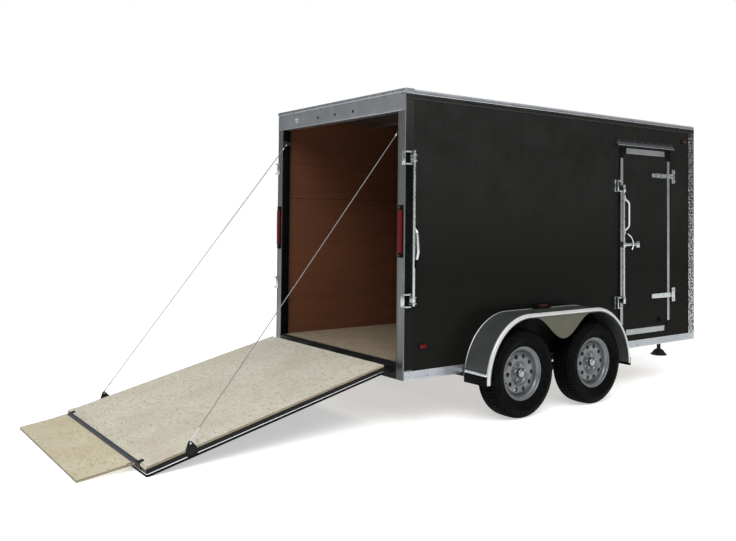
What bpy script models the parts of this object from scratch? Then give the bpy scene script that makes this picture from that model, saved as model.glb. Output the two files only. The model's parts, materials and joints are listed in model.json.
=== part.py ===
"""Tandem-axle enclosed cargo trailer, parked on its tongue jack with the rear ramp let down.

Metres, +X towards the coupler, +Y to the left side, +Z up, ground at Z = 0. Inside this file the
rear face of the body is X = 0; one empty then moves everything so that the middle of the whole
trailer stands over the origin.
"""
import math

import bmesh
import bpy
from mathutils import Matrix, Vector

SEAT = 0.0003            # gap between two pieces that touch
MERGE = 0.0001           # weld distance of the screw modifiers
SINK = 0.002             # how far joined shapes run into each other
OVERRUN = 0.02           # how far a cutter runs past what it cuts

# Body box
BODY_LENGTH = 3.66
BODY_WIDTH = 1.856
BODY_BOTTOM = 0.37
BODY_TOP = 2.47
SKIN_WALL = 0.036        # studs and outer sheet together
LINING = 0.0087
ROOF_THICKNESS = 0.04
ROOF_CROWN = 0.014
ROOF_LIP_DROP = 0.03
ROOF_LIP = 0.004
ROOF_EDGE_RADIUS = 0.02

# Floor frame
FRAME_HEIGHT = 0.09
RAIL_WIDTH = 0.05
CROSSMEMBER_WIDTH = 0.038
CROSSMEMBER_PITCH = 0.6
FLOOR_THICKNESS = 0.018

# Rear portal
POST_WIDTH = 0.085
POST_DEPTH = 0.075
POST_ROUND = 0.008
HEADER_HEIGHT = 0.16
HEADER_LAMP_HOLE = 0.01
HEADER_LAMP_HOLE_DEPTH = 0.012
HEADER_LAMP_PITCH = 0.257
HEADER_HOLE_SHARE = 0.36     # of the header's height
SILL_DROP = 0.005        # sill hangs this far below the frame

# Bottom trim and stone guard
TRIM_HEIGHT = 0.065
TRIM_BELOW_FRAME = 0.006
TRIM_THICKNESS = 0.004
TRIM_RIB = 0.0025
TRIM_RIB_HEIGHT = 0.009
TRIM_RIBS = 3
TRIM_RIB_FOOT_SHARE = 1 / 2
TRIM_RIB_CREST_SHARE = 1 / 3
GUARD_THICKNESS = 0.003
GUARD_SIDE = 0.092
GUARD_HEIGHT = 0.61

# Running gear
TYRE_RADIUS = 0.343
TYRE_WIDTH = 0.205
TYRE_BEAD_RADIUS = 0.1935
TYRE_TREAD_WIDTH = 0.16
TYRE_SHOULDER = 0.022
TYRE_BEAD_PLAY = 0.004       # bead inside the rim flange
WHEEL_OUT = 0.132            # wheel's middle outside the body's side
WHEEL_X_REAR = 1.01
AXLE_SPACING = 0.85
WHEEL_STEPS = 26
RIM_RADIUS = 0.2065
RIM_HALF_WIDTH = 0.0715
RIM_SHEET = 0.006
RIM_WELL_RADIUS = 0.178
RIM_DISC_RADIUS = 0.168
RIM_DISC_DEPTH = 0.034       # disc face behind the flange
RIM_VENT_CIRCLE = 0.132
RIM_VENT_RADIUS = 0.0145
RIM_VENTS = 10
HUB_FACE_RADIUS = 0.078
HUB_RECESS = 0.016
LUG_CIRCLE = 0.057
LUG_RADIUS = 0.0105
LUG_HEIGHT = 0.02
LUGS = 5
HUB_CAP_RADIUS = 0.032
HUB_CAP_HEIGHT = 0.046
HUB_DRUM_RADIUS = 0.128
HUB_DRUM_DEPTH = 0.05
AXLE_RADIUS = 0.03
AXLE_DROP = 0.1
AXLE_ARM = 0.05
WHEEL_CLEARANCE = 0.01       # running gap between hub drum and spindle arm
SPINDLE_RADIUS = 0.022
CAP_EDGE_SHARE = 0.8
HUB_SLOPE_SHARE = 0.6
DISC_CREST_SHARE = 0.92
LUG_TIP_SHARE = 0.7
DISC_EDGE_SHEETS = 2         # in thicknesses of the rim's sheet
DISC_BACK_SHEETS = 3
VENT_STEPS = 8
LUG_STEPS = 6

SPRING_HALF_LENGTH = 0.33
SPRING_WIDTH = 0.044
SPRING_LEAF = 0.008
SPRING_LEAVES = 4
SPRING_ARCH = 0.045
SPRING_IN = 0.068            # spring's middle inside the body's side
SPRING_EYE_RADIUS = 0.016
SPRING_ARC_STEPS = 10
HANGER_WIDTH = 0.06
HANGER_FOOT = 0.1
EQUALIZER_HEIGHT = 0.04
SPRING_SEAT_LENGTH = 0.1
SPRING_SEAT_PLATE = 0.01

# Fenders
FENDER_BOTTOM = 0.305
FENDER_TOP = 0.8
FENDER_HALF_LENGTH = 0.85
FENDER_FLAT_HALF = 0.4
FENDER_WIDTH = 0.257
FENDER_SHEET = 0.004
FENDER_LIP = 0.03
FENDER_LIP_THICKNESS = 0.012
FENDER_LIP_PROUD = 0.003
FENDER_ARC_STEPS = 10
SKIRT_HALF_TOP = 0.34
SKIRT_DEPTH = 0.185
SKIRT_TIP_HALF = 0.03
SKIRT_STEPS = 6

# Tongue, coupler and jack
TONGUE_HEIGHT = 0.076
TONGUE_RAIL = 0.05
TONGUE_HALF_ANGLE = math.radians(25)
TONGUE_INNER_POINT = 0.887    # ahead of the body
TONGUE_TIP = 0.945            # ahead of the body
COUPLER_LENGTH = 0.225        # ahead of the tongue's tip
COUPLER_HALF_WIDTH = 0.038
COUPLER_HEIGHT = 0.07
COUPLER_SHEET = 0.006
COUPLER_PLATE_LENGTH = 0.105
COUPLER_NOSE_STEPS = 8
LATCH_LENGTH = 0.11
LATCH_WIDTH = 0.022
LATCH_HEIGHT = 0.03
JACK_X = 0.797                # ahead of the body
JACK_TUBE_RADIUS = 0.028
JACK_TUBE_BOTTOM = 0.16
JACK_TUBE_TOP = 0.84
JACK_HEAD_RADIUS = 0.034
JACK_HEAD_HEIGHT = 0.09
JACK_FLANGE_HALF = 0.052
JACK_FLANGE = 0.01
JACK_LEG_RADIUS = 0.022
JACK_FOOT_RADIUS = 0.088
JACK_FOOT_HEIGHT = 0.075
JACK_FOOT_RIM = 0.012
JACK_CRANK_RADIUS = 0.007
JACK_CRANK_OUT = 0.09
JACK_CRANK_DROP = 0.17
JACK_GRIP_OUT = 0.1
JACK_STEPS = 18
JACK_HEAD_TOP_SHARES = (0.7, 0.8)          # radius and height where the head's edge turns in
JACK_FLANGE_FRONT_SHARE = 0.6
JACK_FOOT_NECK_SHARES = (0.5, 0.85)        # radius and height of the foot's neck
JACK_FOOT_FLARE_SHARES = (0.85, 1.6)       # radius, and height in rims, of its flare

# Side door
DOOR_REAR = 2.475
DOOR_FRONT = 3.26
DOOR_BOTTOM = 0.485
DOOR_HEAD = 0.28              # below the body's top
DOOR_CLEARANCE = 0.006
DOOR_THICKNESS = 0.034
DOOR_TRIM_WIDTH = 0.05
DOOR_TRIM_THICKNESS = 0.004
DOOR_CORNER = 0.03
CORNER_STEPS = 5
DRIP_WIDTH_PAST_DOOR = 0.045
DRIP_HEIGHT = 0.035
DRIP_OUT = 0.022
DRIP_NOSE_SHARES = (0.6, 0.4)     # of its height, below and above the nose
HINGE_PIN_RADIUS = 0.0075
HINGE_PIN_OUT = 0.014         # pin in front of the skin
HINGE_PIN_FORWARD = 0.016     # pin ahead of the door's edge
HINGE_STRAP_SHARE = 0.408     # of the door's width
HINGE_STRAP_HEIGHT = 0.048
HINGE_STRAP_THICKNESS = 0.005
HINGE_PLATE_LENGTH = 0.06
HINGE_PLATE_HEIGHT = 0.13
HINGE_KNUCKLE_GAP = 0.001
HINGE_NOTCH_SHARE = 2             # of the pin's radius
HINGE_WEB_SHARES = (0.2, 1.4)
HINGE_UPPER_DROP = 0.235      # below the door's top
HINGE_LOWER_Z = 0.82
LOCK_BAR_RADIUS = 0.01
LOCK_BAR_OUT = 0.032          # bar's axis in front of the skin
DOOR_LOCK_BOTTOM = 0.79
DOOR_LOCK_DROP = 0.35         # below the door's top
LOCK_GUIDE_HEIGHT = 0.055
LOCK_GUIDE_WIDTH = 0.06
LOCK_GUIDE_THICKNESS = 0.006
LOCK_ARM = 0.008
DOOR_LEVER_DROP = 0.12        # below the grab handle's foot
DOOR_LEVER_LENGTH = 0.29
DOOR_LEVER_HEIGHT = 0.03
DOOR_LEVER_THICKNESS = 0.01
GRAB_LENGTH = 0.3
GRAB_DROP = 0.46              # below the door's top
GRAB_OUT = 0.055
GRAB_RADIUS = 0.008
GRAB_FOOT = 0.004
GRAB_FOOT_HALF = 0.02
GRAB_FORWARD = 0.07           # from the door's rear edge
GRAB_BEND_SHARE = 0.6         # of how far it stands out
GRAB_ROOT_SHARE = 0.3         # of the foot's thickness
GUIDE_SIDE_SHARE = 1.4        # of the bar's radius
GUIDE_FRONT_SHARE = 1.3

# Rear locks on the body's sides
REAR_LOCK_X = 0.058
REAR_LOCK_OUT = 0.036
REAR_LOCK_BOTTOM = 0.9
REAR_LOCK_DROP = 0.45         # below the body's top
REAR_LOCK_LOWER = 0.94
REAR_LOCK_UPPER_DROP = 0.055  # below the bar's top
REAR_LOCK_ARM_PITCH = 0.045
REAR_LEVER_Z = 1.46
REAR_LEVER_LENGTH = 0.24
REAR_LEVER_OUT = 0.03
REAR_LEVER_RADIUS = 0.008
LOCK_BASE_REAR_SHARE = 0.8       # of a guide's width
LOCK_ARM_FRONT_SHARE = 1.3       # of the bar's radius
LOCK_ARM_SIDE_SHARE = 1.5
LEVER_FORWARD_SHARE = 0.4        # of how far the lever stands out
LEVER_BEND_SHARE = 0.8           # of its length
LEVER_TIP_SHARE = 0.6            # of how far it stands out
BAR_STEPS = 12

# Lamps
TAIL_LAMP_BOTTOM = 1.245
TAIL_LAMP_TOP = 1.625
TAIL_LAMP_WIDTH = 0.042
TAIL_LAMP_DEPTH = 0.018
TAIL_LAMP_ROUND = 0.006
MARKER_LENGTH = 0.066
MARKER_HEIGHT = 0.03
MARKER_DEPTH = 0.018
MARKER_ROUND = 0.005
MARKER_FRONT_X = 3.483
MARKER_FRONT_DROP = 0.163     # below the body's top
MARKER_REAR_X = 0.17
MARKER_REAR_Z = 0.6
FENDER_LAMP_LENGTH = 0.17
FENDER_LAMP_HEIGHT = 0.032
FENDER_LAMP_DEPTH = 0.03
FENDER_LAMP_RISE = 0.006

# Ramp and its flap
RAMP_HINGE_X = -0.03
RAMP_HINGE_Z = 0.43
RAMP_SIDE_PLAY = 0.02         # to each post
RAMP_START = 0.055            # from the hinge pin
RAMP_LENGTH = 1.79
RAMP_OUTER = 0.002            # outer face above the pin
RAMP_SKIN = 0.003
RAMP_THICKNESS = 0.058
RAMP_EDGE = 0.03
RAMP_RIB = 0.03
RAMP_RIBS = 3
RAMP_DECK = 0.015
RAMP_BARREL_RADIUS = 0.009
RAMP_BARREL_LENGTH = 0.07
RAMP_LEAF = 0.005
RAMP_HINGES = 5
RAMP_LUG = 0.008
RAMP_LUG_HEIGHT = 0.04
CABLE_BRACKET_BACK = 0.29     # from the ramp's end
CABLE_BRACKET_LENGTH = 0.07
CABLE_BRACKET_HEIGHT = 0.045
CABLE_BRACKET_THICKNESS = 0.006
CABLE_BRACKET_FOOT = 0.03
CABLE_RADIUS = 0.003
CABLE_EYE = 0.008
CABLE_TOP_X = 0.055
CABLE_TOP_DROP = 0.12         # below the header
ANCHOR_SIZE = 0.03
ANCHOR_OUT = 0.03
FLAP_INSET = 0.123            # inside the ramp's side
FLAP_LENGTH = 0.352
FLAP_THICKNESS = 0.016
FLAP_PIN_RISE = 0.011         # above the deck
FLAP_PIN_OUT = 0.007          # past the ramp's end
FLAP_START = 0.012
FLAP_BELOW_PIN = 0.002
FLAP_BARREL_RADIUS = 0.0055
FLAP_LEAF = 0.003
FLAP_LEAF_REACH = 0.06
FLAP_KNUCKLE = 0.03
FLAP_ANGLE_DROP = 0.025

HALF_WIDTH = BODY_WIDTH / 2
FRAME_TOP = BODY_BOTTOM + FRAME_HEIGHT
FLOOR_TOP = FRAME_TOP + SEAT + FLOOR_THICKNESS
WALL_TOP = BODY_TOP - ROOF_THICKNESS - SEAT
INNER_HALF_WIDTH = HALF_WIDTH - SKIN_WALL - SEAT - LINING
PORTAL_HALF_WIDTH = HALF_WIDTH - POST_WIDTH
PORTAL_TOP = BODY_TOP - HEADER_HEIGHT
WHEEL_X_FRONT = WHEEL_X_REAR + AXLE_SPACING
GEAR_X = (WHEEL_X_REAR + WHEEL_X_FRONT) / 2
WHEEL_Y = HALF_WIDTH + WHEEL_OUT
SPRING_Y = HALF_WIDTH - SPRING_IN
DOOR_TOP = BODY_TOP - DOOR_HEAD
DOOR_LOCK_TOP = DOOR_TOP - DOOR_LOCK_DROP
GRAB_TOP = DOOR_TOP - GRAB_DROP
GRAB_BOTTOM = GRAB_TOP - GRAB_LENGTH
DOOR_LEVER_Z = GRAB_BOTTOM - DOOR_LEVER_DROP
HINGE_UPPER_Z = DOOR_TOP - HINGE_UPPER_DROP
HINGE_STRAP_LENGTH = (DOOR_FRONT - DOOR_REAR) * HINGE_STRAP_SHARE
REAR_LOCK_TOP = BODY_TOP - REAR_LOCK_DROP
REAR_LOCK_UPPER = REAR_LOCK_TOP - REAR_LOCK_UPPER_DROP
MARKER_FRONT_Z = BODY_TOP - MARKER_FRONT_DROP
RAMP_HALF_WIDTH = PORTAL_HALF_WIDTH - RAMP_SIDE_PLAY
CABLE_BRACKET_AT = RAMP_LENGTH - CABLE_BRACKET_BACK
CABLE_TOP_Z = PORTAL_TOP - CABLE_TOP_DROP
FLAP_HALF_WIDTH = RAMP_HALF_WIDTH - FLAP_INSET
SIDES = {"right": -1, "left": 1}

COLOURS = {              # red, green, blue, metallic, roughness
    "charcoal_skin": (0.028, 0.028, 0.026, 0.0, 0.35),
    "mill_aluminium": (0.62, 0.64, 0.66, 0.9, 0.35),
    "tread_plate": (0.55, 0.56, 0.57, 0.9, 0.3),
    "black_steel": (0.015, 0.015, 0.016, 0.2, 0.45),
    "zinc_steel": (0.5, 0.52, 0.54, 0.9, 0.35),
    "plywood": (0.16, 0.07, 0.035, 0.0, 0.6),
    "strand_board": (0.5, 0.44, 0.33, 0.0, 0.8),
    "tyre_rubber": (0.012, 0.012, 0.013, 0.0, 0.85),
    "silver_paint": (0.45, 0.47, 0.49, 0.7, 0.35),
    "red_lens": (0.5, 0.01, 0.01, 0.0, 0.2),
    "amber_lens": (0.75, 0.22, 0.02, 0.0, 0.2),
    "wire_rope": (0.3, 0.3, 0.31, 0.8, 0.5),
}


def clear_scene():
    for old in list(bpy.data.objects):
        bpy.data.objects.remove(old, do_unlink=True)


def make_collection(name):
    group = bpy.data.collections.new(name)
    bpy.context.scene.collection.children.link(group)
    return group


def make_material(name):
    red, green, blue, metallic, roughness = COLOURS[name]
    material = bpy.data.materials.new(name)
    material.use_nodes = True
    shader = material.node_tree.nodes["Principled BSDF"]
    shader.inputs["Base Color"].default_value = (red, green, blue, 1)
    shader.inputs["Metallic"].default_value = metallic
    shader.inputs["Roughness"].default_value = roughness
    return material


clear_scene()
PARTS = make_collection("cargo_trailer")
TOOLS = make_collection("cutters")
MATERIALS = {name: make_material(name) for name in COLOURS}


def pivot(name, place, turn=(0, 0, 0), parent=None):
    """An empty that carries the pieces of one body."""
    empty = bpy.data.objects.new(name, None)
    empty.location = place
    empty.rotation_euler = turn
    empty.parent = parent
    PARTS.objects.link(empty)
    return empty


def add(name, data, material, parent, place=(0, 0, 0), turn=(0, 0, 0)):
    piece = bpy.data.objects.new(name, data)
    piece.location = place
    piece.rotation_euler = turn
    piece.parent = parent
    data.materials.append(MATERIALS[material])
    PARTS.objects.link(piece)
    return piece


def box(name, low, high, material, parent):
    """A block between two corners."""
    low, high = Vector(low), Vector(high)
    mesh = bpy.data.meshes.new(name)
    shape = bmesh.new()
    bmesh.ops.create_cube(shape, size=1)
    bmesh.ops.scale(shape, vec=high - low, verts=shape.verts)
    shape.to_mesh(mesh)
    shape.free()
    return add(name, mesh, material, parent, place=(low + high) / 2)


def rounded(piece, width, segments=1):
    """Rounds every edge of a block."""
    bevel = piece.modifiers.new("rounded", "BEVEL")
    bevel.width = width
    bevel.segments = segments
    bevel.limit_method = "ANGLE"
    return piece


def cylinder(name, radius, length, material, parent, place, turn=(0, 0, 0), steps=16, tip=None):
    """A round bar along its own Z; a tip radius makes it a cone."""
    mesh = bpy.data.meshes.new(name)
    shape = bmesh.new()
    bmesh.ops.create_cone(shape, cap_ends=True, segments=steps, radius1=radius,
                          radius2=radius if tip is None else tip, depth=length)
    shape.to_mesh(mesh)
    shape.free()
    return add(name, mesh, material, parent, place, turn)


def plate(name, outlines, thickness, material, parent, place=(0, 0, 0), turn=(0, 0, 0)):
    """A flat outline with holes, extruded both ways from its own XY plane."""
    curve = bpy.data.curves.new(name, "CURVE")
    curve.dimensions = "2D"
    curve.fill_mode = "BOTH"
    curve.extrude = thickness / 2
    for outline in outlines:
        spline = curve.splines.new("POLY")
        spline.points.add(len(outline) - 1)
        for point, (across, up) in zip(spline.points, outline):
            point.co = (across, up, 0, 1)
        spline.use_cyclic_u = True
    return add(name, curve, material, parent, place, turn)


FACING_SIDE = (math.pi / 2, 0, 0)               # outline X, Y -> world X, Z; thickness along Y
FACING_REAR = (math.pi / 2, 0, math.pi / 2)     # outline X, Y -> world Y, Z; thickness along X


def tube(name, points, radius, material, parent, roundness=2):
    """A round bar along a path."""
    curve = bpy.data.curves.new(name, "CURVE")
    curve.dimensions = "3D"
    curve.bevel_depth = radius
    curve.bevel_resolution = roundness
    curve.use_fill_caps = True
    spline = curve.splines.new("POLY")
    spline.points.add(len(points) - 1)
    for point, spot in zip(spline.points, points):
        point.co = (*spot, 1)
    return add(name, curve, material, parent)


def turned(name, profile, steps, material, parent, place, turn, closed=False):
    """A profile of (radius, height) points turned round its own Z."""
    mesh = bpy.data.meshes.new(name)
    edges = [(i, i + 1) for i in range(len(profile) - 1)]
    if closed:
        edges.append((len(profile) - 1, 0))
    mesh.from_pydata([(radius, 0, height) for radius, height in profile], edges, [])
    piece = add(name, mesh, material, parent, place, turn)
    screw = piece.modifiers.new("turned", "SCREW")
    screw.angle = math.tau
    screw.steps = steps
    screw.render_steps = steps
    screw.use_merge_vertices = True
    screw.merge_threshold = MERGE
    return piece


def as_mesh(piece):
    """The same piece as a welded mesh, so that a boolean can use it."""
    material = piece.data.materials[0]
    bpy.context.view_layer.update()
    depsgraph = bpy.context.evaluated_depsgraph_get()
    mesh = bpy.data.meshes.new_from_object(piece.evaluated_get(depsgraph))
    shape = bmesh.new()
    shape.from_mesh(mesh)
    bmesh.ops.remove_doubles(shape, verts=shape.verts, dist=MERGE)
    bmesh.ops.triangulate(shape, faces=[face for face in shape.faces if len(face.verts) == 4])
    shape.to_mesh(mesh)
    shape.free()
    mesh.materials.clear()
    mesh.materials.append(material)
    solid = bpy.data.objects.new(piece.name, mesh)
    solid.parent = piece.parent
    solid.location = piece.location
    solid.rotation_euler = piece.rotation_euler
    name = piece.name
    bpy.data.objects.remove(piece, do_unlink=True)
    solid.name = name
    PARTS.objects.link(solid)
    return solid


def combine(piece, others, operation="UNION"):
    """Joins the others to the piece, or cuts them out of it."""
    for other in others:
        PARTS.objects.unlink(other)
        TOOLS.objects.link(other)
        other.hide_render = True
        other.display_type = "WIRE"
        boolean = piece.modifiers.new(other.name, "BOOLEAN")
        boolean.operation = operation
        boolean.object = other
        boolean.solver = "EXACT"
    return piece


def rectangle(left, bottom, right, top):
    return [(left, bottom), (right, bottom), (right, top), (left, top)]


def round_rectangle(left, bottom, right, top, radius):
    points = []
    corners = [(right - radius, bottom + radius, -90), (right - radius, top - radius, 0),
               (left + radius, top - radius, 90), (left + radius, bottom + radius, 180)]
    for across, up, start in corners:
        for step in range(CORNER_STEPS + 1):
            angle = math.radians(start + 90 * step / CORNER_STEPS)
            points.append((across + radius * math.cos(angle), up + radius * math.sin(angle)))
    return points


def lean(height, length, depth):
    """The slope at which a point at (length, depth) of a hinged board comes down to the ground."""
    return math.asin(height / math.hypot(length, depth)) + math.atan2(depth, length)


def floor_frame(body):
    start = POST_DEPTH + SEAT
    inner_start = start + RAIL_WIDTH
    inner_end = BODY_LENGTH - RAIL_WIDTH
    bays = math.ceil((inner_end - inner_start) / CROSSMEMBER_PITCH)
    bay = (inner_end - inner_start + CROSSMEMBER_WIDTH) / bays
    outer = HALF_WIDTH - SKIN_WALL - SEAT
    half = outer - RAIL_WIDTH
    outlines = [rectangle(start, -outer, BODY_LENGTH, outer)]
    for index in range(bays):
        left = inner_start + bay * index
        outlines.append(rectangle(left, -half, left + bay - CROSSMEMBER_WIDTH, half))
    plate("main_frame", outlines, FRAME_HEIGHT, "black_steel", body,
          place=(0, 0, BODY_BOTTOM + FRAME_HEIGHT / 2))
    box("floor_deck", (start, -INNER_HALF_WIDTH + SEAT, FRAME_TOP + SEAT),
        (BODY_LENGTH - SKIN_WALL - SEAT - LINING - SEAT, INNER_HALF_WIDTH - SEAT, FLOOR_TOP),
        "strand_board", body)


def walls(body):
    rear = POST_DEPTH + SEAT
    front_inner = BODY_LENGTH - SKIN_WALL
    bottom = FRAME_TOP + SEAT
    opening = rectangle(DOOR_REAR - DOOR_CLEARANCE, DOOR_BOTTOM - DOOR_CLEARANCE,
                        DOOR_FRONT + DOOR_CLEARANCE, DOOR_TOP + DOOR_CLEARANCE)
    for side, sign in SIDES.items():
        holes = [opening] if side == "right" else []
        plate("wall_" + side, [rectangle(rear, BODY_BOTTOM, BODY_LENGTH, WALL_TOP)] + holes, SKIN_WALL,
              "charcoal_skin", body, place=(0, sign * (HALF_WIDTH - SKIN_WALL / 2), 0), turn=FACING_SIDE)
        lining = rectangle(rear, FLOOR_TOP + SEAT, front_inner - SEAT, WALL_TOP)
        lining_y = sign * (HALF_WIDTH - SKIN_WALL - SEAT - LINING / 2)
        plate("lining_" + side, [lining] + holes, LINING, "plywood", body,
              place=(0, lining_y, 0), turn=FACING_SIDE)
    half = HALF_WIDTH - SKIN_WALL - SEAT
    box("wall_front", (front_inner, -half, bottom), (BODY_LENGTH, half, WALL_TOP), "charcoal_skin", body)
    half = INNER_HALF_WIDTH - SEAT
    box("lining_front", (front_inner - SEAT - LINING, -half, FLOOR_TOP + SEAT),
        (front_inner - SEAT, half, WALL_TOP), "plywood", body)


def roof(body):
    outer = HALF_WIDTH + SEAT + ROOF_LIP
    seat_z = BODY_TOP - ROOF_THICKNESS
    lip_z = seat_z - ROOF_LIP_DROP
    half = [(HALF_WIDTH + SEAT, seat_z), (HALF_WIDTH + SEAT, lip_z), (outer, lip_z)]
    for step in range(CORNER_STEPS + 1):
        angle = math.pi / 2 * step / CORNER_STEPS
        half.append((outer - ROOF_EDGE_RADIUS * (1 - math.cos(angle)),
                     BODY_TOP - ROOF_EDGE_RADIUS * (1 - math.sin(angle))))
    flat = outer - ROOF_EDGE_RADIUS
    for step in range(1, CORNER_STEPS):
        share = 1 - step / CORNER_STEPS
        half.append((flat * share, BODY_TOP + ROOF_CROWN * (1 - share * share)))
    outline = half + [(0, BODY_TOP + ROOF_CROWN)] + [(-across, up) for across, up in reversed(half)]
    length = BODY_LENGTH - POST_DEPTH - SEAT
    plate("roof", [outline], length, "mill_aluminium", body,
          place=(BODY_LENGTH - length / 2, 0, 0), turn=FACING_REAR)


def rear_portal(body):
    header = as_mesh(plate("rear_header", [rectangle(-HALF_WIDTH, PORTAL_TOP, HALF_WIDTH, BODY_TOP)],
                           POST_DEPTH, "mill_aluminium", body, place=(POST_DEPTH / 2, 0, 0),
                           turn=FACING_REAR))
    holes = []
    for index in (-1, 0, 1):
        place = (HEADER_LAMP_HOLE_DEPTH / 2 - OVERRUN / 2, index * HEADER_LAMP_PITCH,
                 PORTAL_TOP + HEADER_HEIGHT * HEADER_HOLE_SHARE)
        holes.append(cylinder(f"header_hole_{index + 2}", HEADER_LAMP_HOLE, HEADER_LAMP_HOLE_DEPTH + OVERRUN,
                              "black_steel", body, place, turn=(0, math.pi / 2, 0), steps=BAR_STEPS))
    combine(header, holes, "DIFFERENCE")
    for side, sign in SIDES.items():
        inner, outer = PORTAL_HALF_WIDTH, HALF_WIDTH
        outline = [(POST_DEPTH, inner), (POST_DEPTH, outer), (POST_ROUND, outer)]
        outline += [(POST_ROUND * (1 - math.sin(angle)), outer - POST_ROUND * (1 - math.cos(angle)))
                    for angle in (math.pi / 6, math.pi / 3)]
        outline += [(0, outer - POST_ROUND), (0, inner)]
        outline = [(across, sign * up) for across, up in outline]
        bottom = BODY_BOTTOM - SILL_DROP
        height = PORTAL_TOP - SEAT - bottom
        post = as_mesh(plate("rear_post_" + side, [outline], height, "mill_aluminium", body,
                             place=(0, 0, bottom + height / 2)))
        anchor = box("anchor_" + side,
                     (CABLE_TOP_X - ANCHOR_SIZE / 2, min(sign * (inner - ANCHOR_OUT), sign * (inner + SINK)),
                      CABLE_TOP_Z - ANCHOR_SIZE / 2),
                     (CABLE_TOP_X + ANCHOR_SIZE / 2, max(sign * (inner - ANCHOR_OUT), sign * (inner + SINK)),
                      CABLE_TOP_Z + ANCHOR_SIZE / 2), "mill_aluminium", body)
        combine(post, [anchor])


def rear_sill(body):
    half = PORTAL_HALF_WIDTH - SEAT
    sill = box("rear_sill", (0, -half, BODY_BOTTOM - SILL_DROP), (POST_DEPTH, half, FLOOR_TOP),
               "black_steel", body)
    lugs = []
    for index in range(RAMP_HINGES):
        centre = hinge_place(index)
        for sign in (-1, 1):
            inner = centre + sign * (RAMP_BARREL_LENGTH / 2 + SEAT)
            outer = inner + sign * RAMP_LUG
            low_y, high_y = min(inner, outer), max(inner, outer)
            lugs.append(box(f"sill_lug_{index}_{sign + 1}",
                            (RAMP_HINGE_X - RAMP_BARREL_RADIUS, low_y, RAMP_HINGE_Z - RAMP_LUG_HEIGHT / 2),
                            (SINK, high_y, RAMP_HINGE_Z + RAMP_BARREL_RADIUS), "black_steel", body))
    combine(sill, lugs)


def hinge_place(index):
    """Middle of one ramp hinge across the trailer."""
    reach = 2 * (RAMP_HALF_WIDTH - RAMP_BARREL_LENGTH)
    return -reach / 2 + reach * index / (RAMP_HINGES - 1)


def side_trims(body):
    bottom = BODY_BOTTOM - TRIM_BELOW_FRAME
    rib_pitch = TRIM_HEIGHT / (TRIM_RIBS + 1)
    for side, sign in SIDES.items():
        inner = HALF_WIDTH + SEAT
        outline = [(inner, bottom), (inner + TRIM_THICKNESS, bottom)]
        for index in range(1, TRIM_RIBS + 1):
            middle = bottom + rib_pitch * index
            foot, crest = TRIM_RIB_HEIGHT * TRIM_RIB_FOOT_SHARE, TRIM_RIB_HEIGHT * TRIM_RIB_CREST_SHARE
            outline += [(inner + TRIM_THICKNESS, middle - foot),
                        (inner + TRIM_THICKNESS + TRIM_RIB, middle - crest),
                        (inner + TRIM_THICKNESS + TRIM_RIB, middle + crest),
                        (inner + TRIM_THICKNESS, middle + foot)]
        outline += [(inner + TRIM_THICKNESS, bottom + TRIM_HEIGHT), (inner, bottom + TRIM_HEIGHT)]
        outline = [(sign * across, up) for across, up in outline]
        plate("bottom_trim_" + side, [outline], BODY_LENGTH, "mill_aluminium", body,
              place=(BODY_LENGTH / 2, 0, 0), turn=FACING_REAR)


def stone_guard(body):
    """Tread plate wrapped round both front corners, low across the front and full height at the sides."""
    inner = HALF_WIDTH + SEAT
    outer = inner + GUARD_THICKNESS
    front = BODY_LENGTH + SEAT
    bottom = BODY_BOTTOM - TRIM_BELOW_FRAME + TRIM_HEIGHT + SEAT
    top = WALL_TOP - ROOF_LIP_DROP
    wrap = [(BODY_LENGTH - GUARD_SIDE, -outer), (front + GUARD_THICKNESS, -outer),
            (front + GUARD_THICKNESS, outer), (BODY_LENGTH - GUARD_SIDE, outer),
            (BODY_LENGTH - GUARD_SIDE, inner), (front, inner), (front, -inner),
            (BODY_LENGTH - GUARD_SIDE, -inner)]
    guard = as_mesh(plate("stone_guard", [wrap], top - bottom, "tread_plate", body,
                          place=(0, 0, (top + bottom) / 2)))
    window = box("guard_window", (front - OVERRUN, -HALF_WIDTH + GUARD_SIDE, bottom + GUARD_HEIGHT),
                 (front + OVERRUN, HALF_WIDTH - GUARD_SIDE, top + OVERRUN), "tread_plate", body)
    tongue_gap = box("guard_tongue_gap", (front - OVERRUN, -HALF_WIDTH + GUARD_SIDE, bottom - OVERRUN),
                     (front + OVERRUN, HALF_WIDTH - GUARD_SIDE, FRAME_TOP + SEAT), "tread_plate", body)
    combine(guard, [window, tongue_gap], "DIFFERENCE")


def tongue(body):
    slope = math.tan(TONGUE_HALF_ANGLE)
    across = TONGUE_RAIL / math.cos(TONGUE_HALF_ANGLE)
    start = BODY_LENGTH + SEAT
    point = BODY_LENGTH + TONGUE_INNER_POINT
    tip = BODY_LENGTH + TONGUE_TIP

    def outer(x):
        return (point - x) * slope + across

    outline = [(start, -outer(start)), (tip, -outer(tip)), (tip, outer(tip)), (start, outer(start))]
    bar = TONGUE_RAIL
    inner = outer(start + bar) - across
    hole = [(start + bar, -inner), (point, 0), (start + bar, inner)]
    middle = FRAME_TOP - TONGUE_HEIGHT / 2 - SEAT
    plate("tongue_frame", [outline, hole], TONGUE_HEIGHT, "black_steel", body, place=(0, 0, middle))
    top = middle + TONGUE_HEIGHT / 2 + SEAT
    coupler(body, tip, top, outer)
    jack(body, top)


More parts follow.
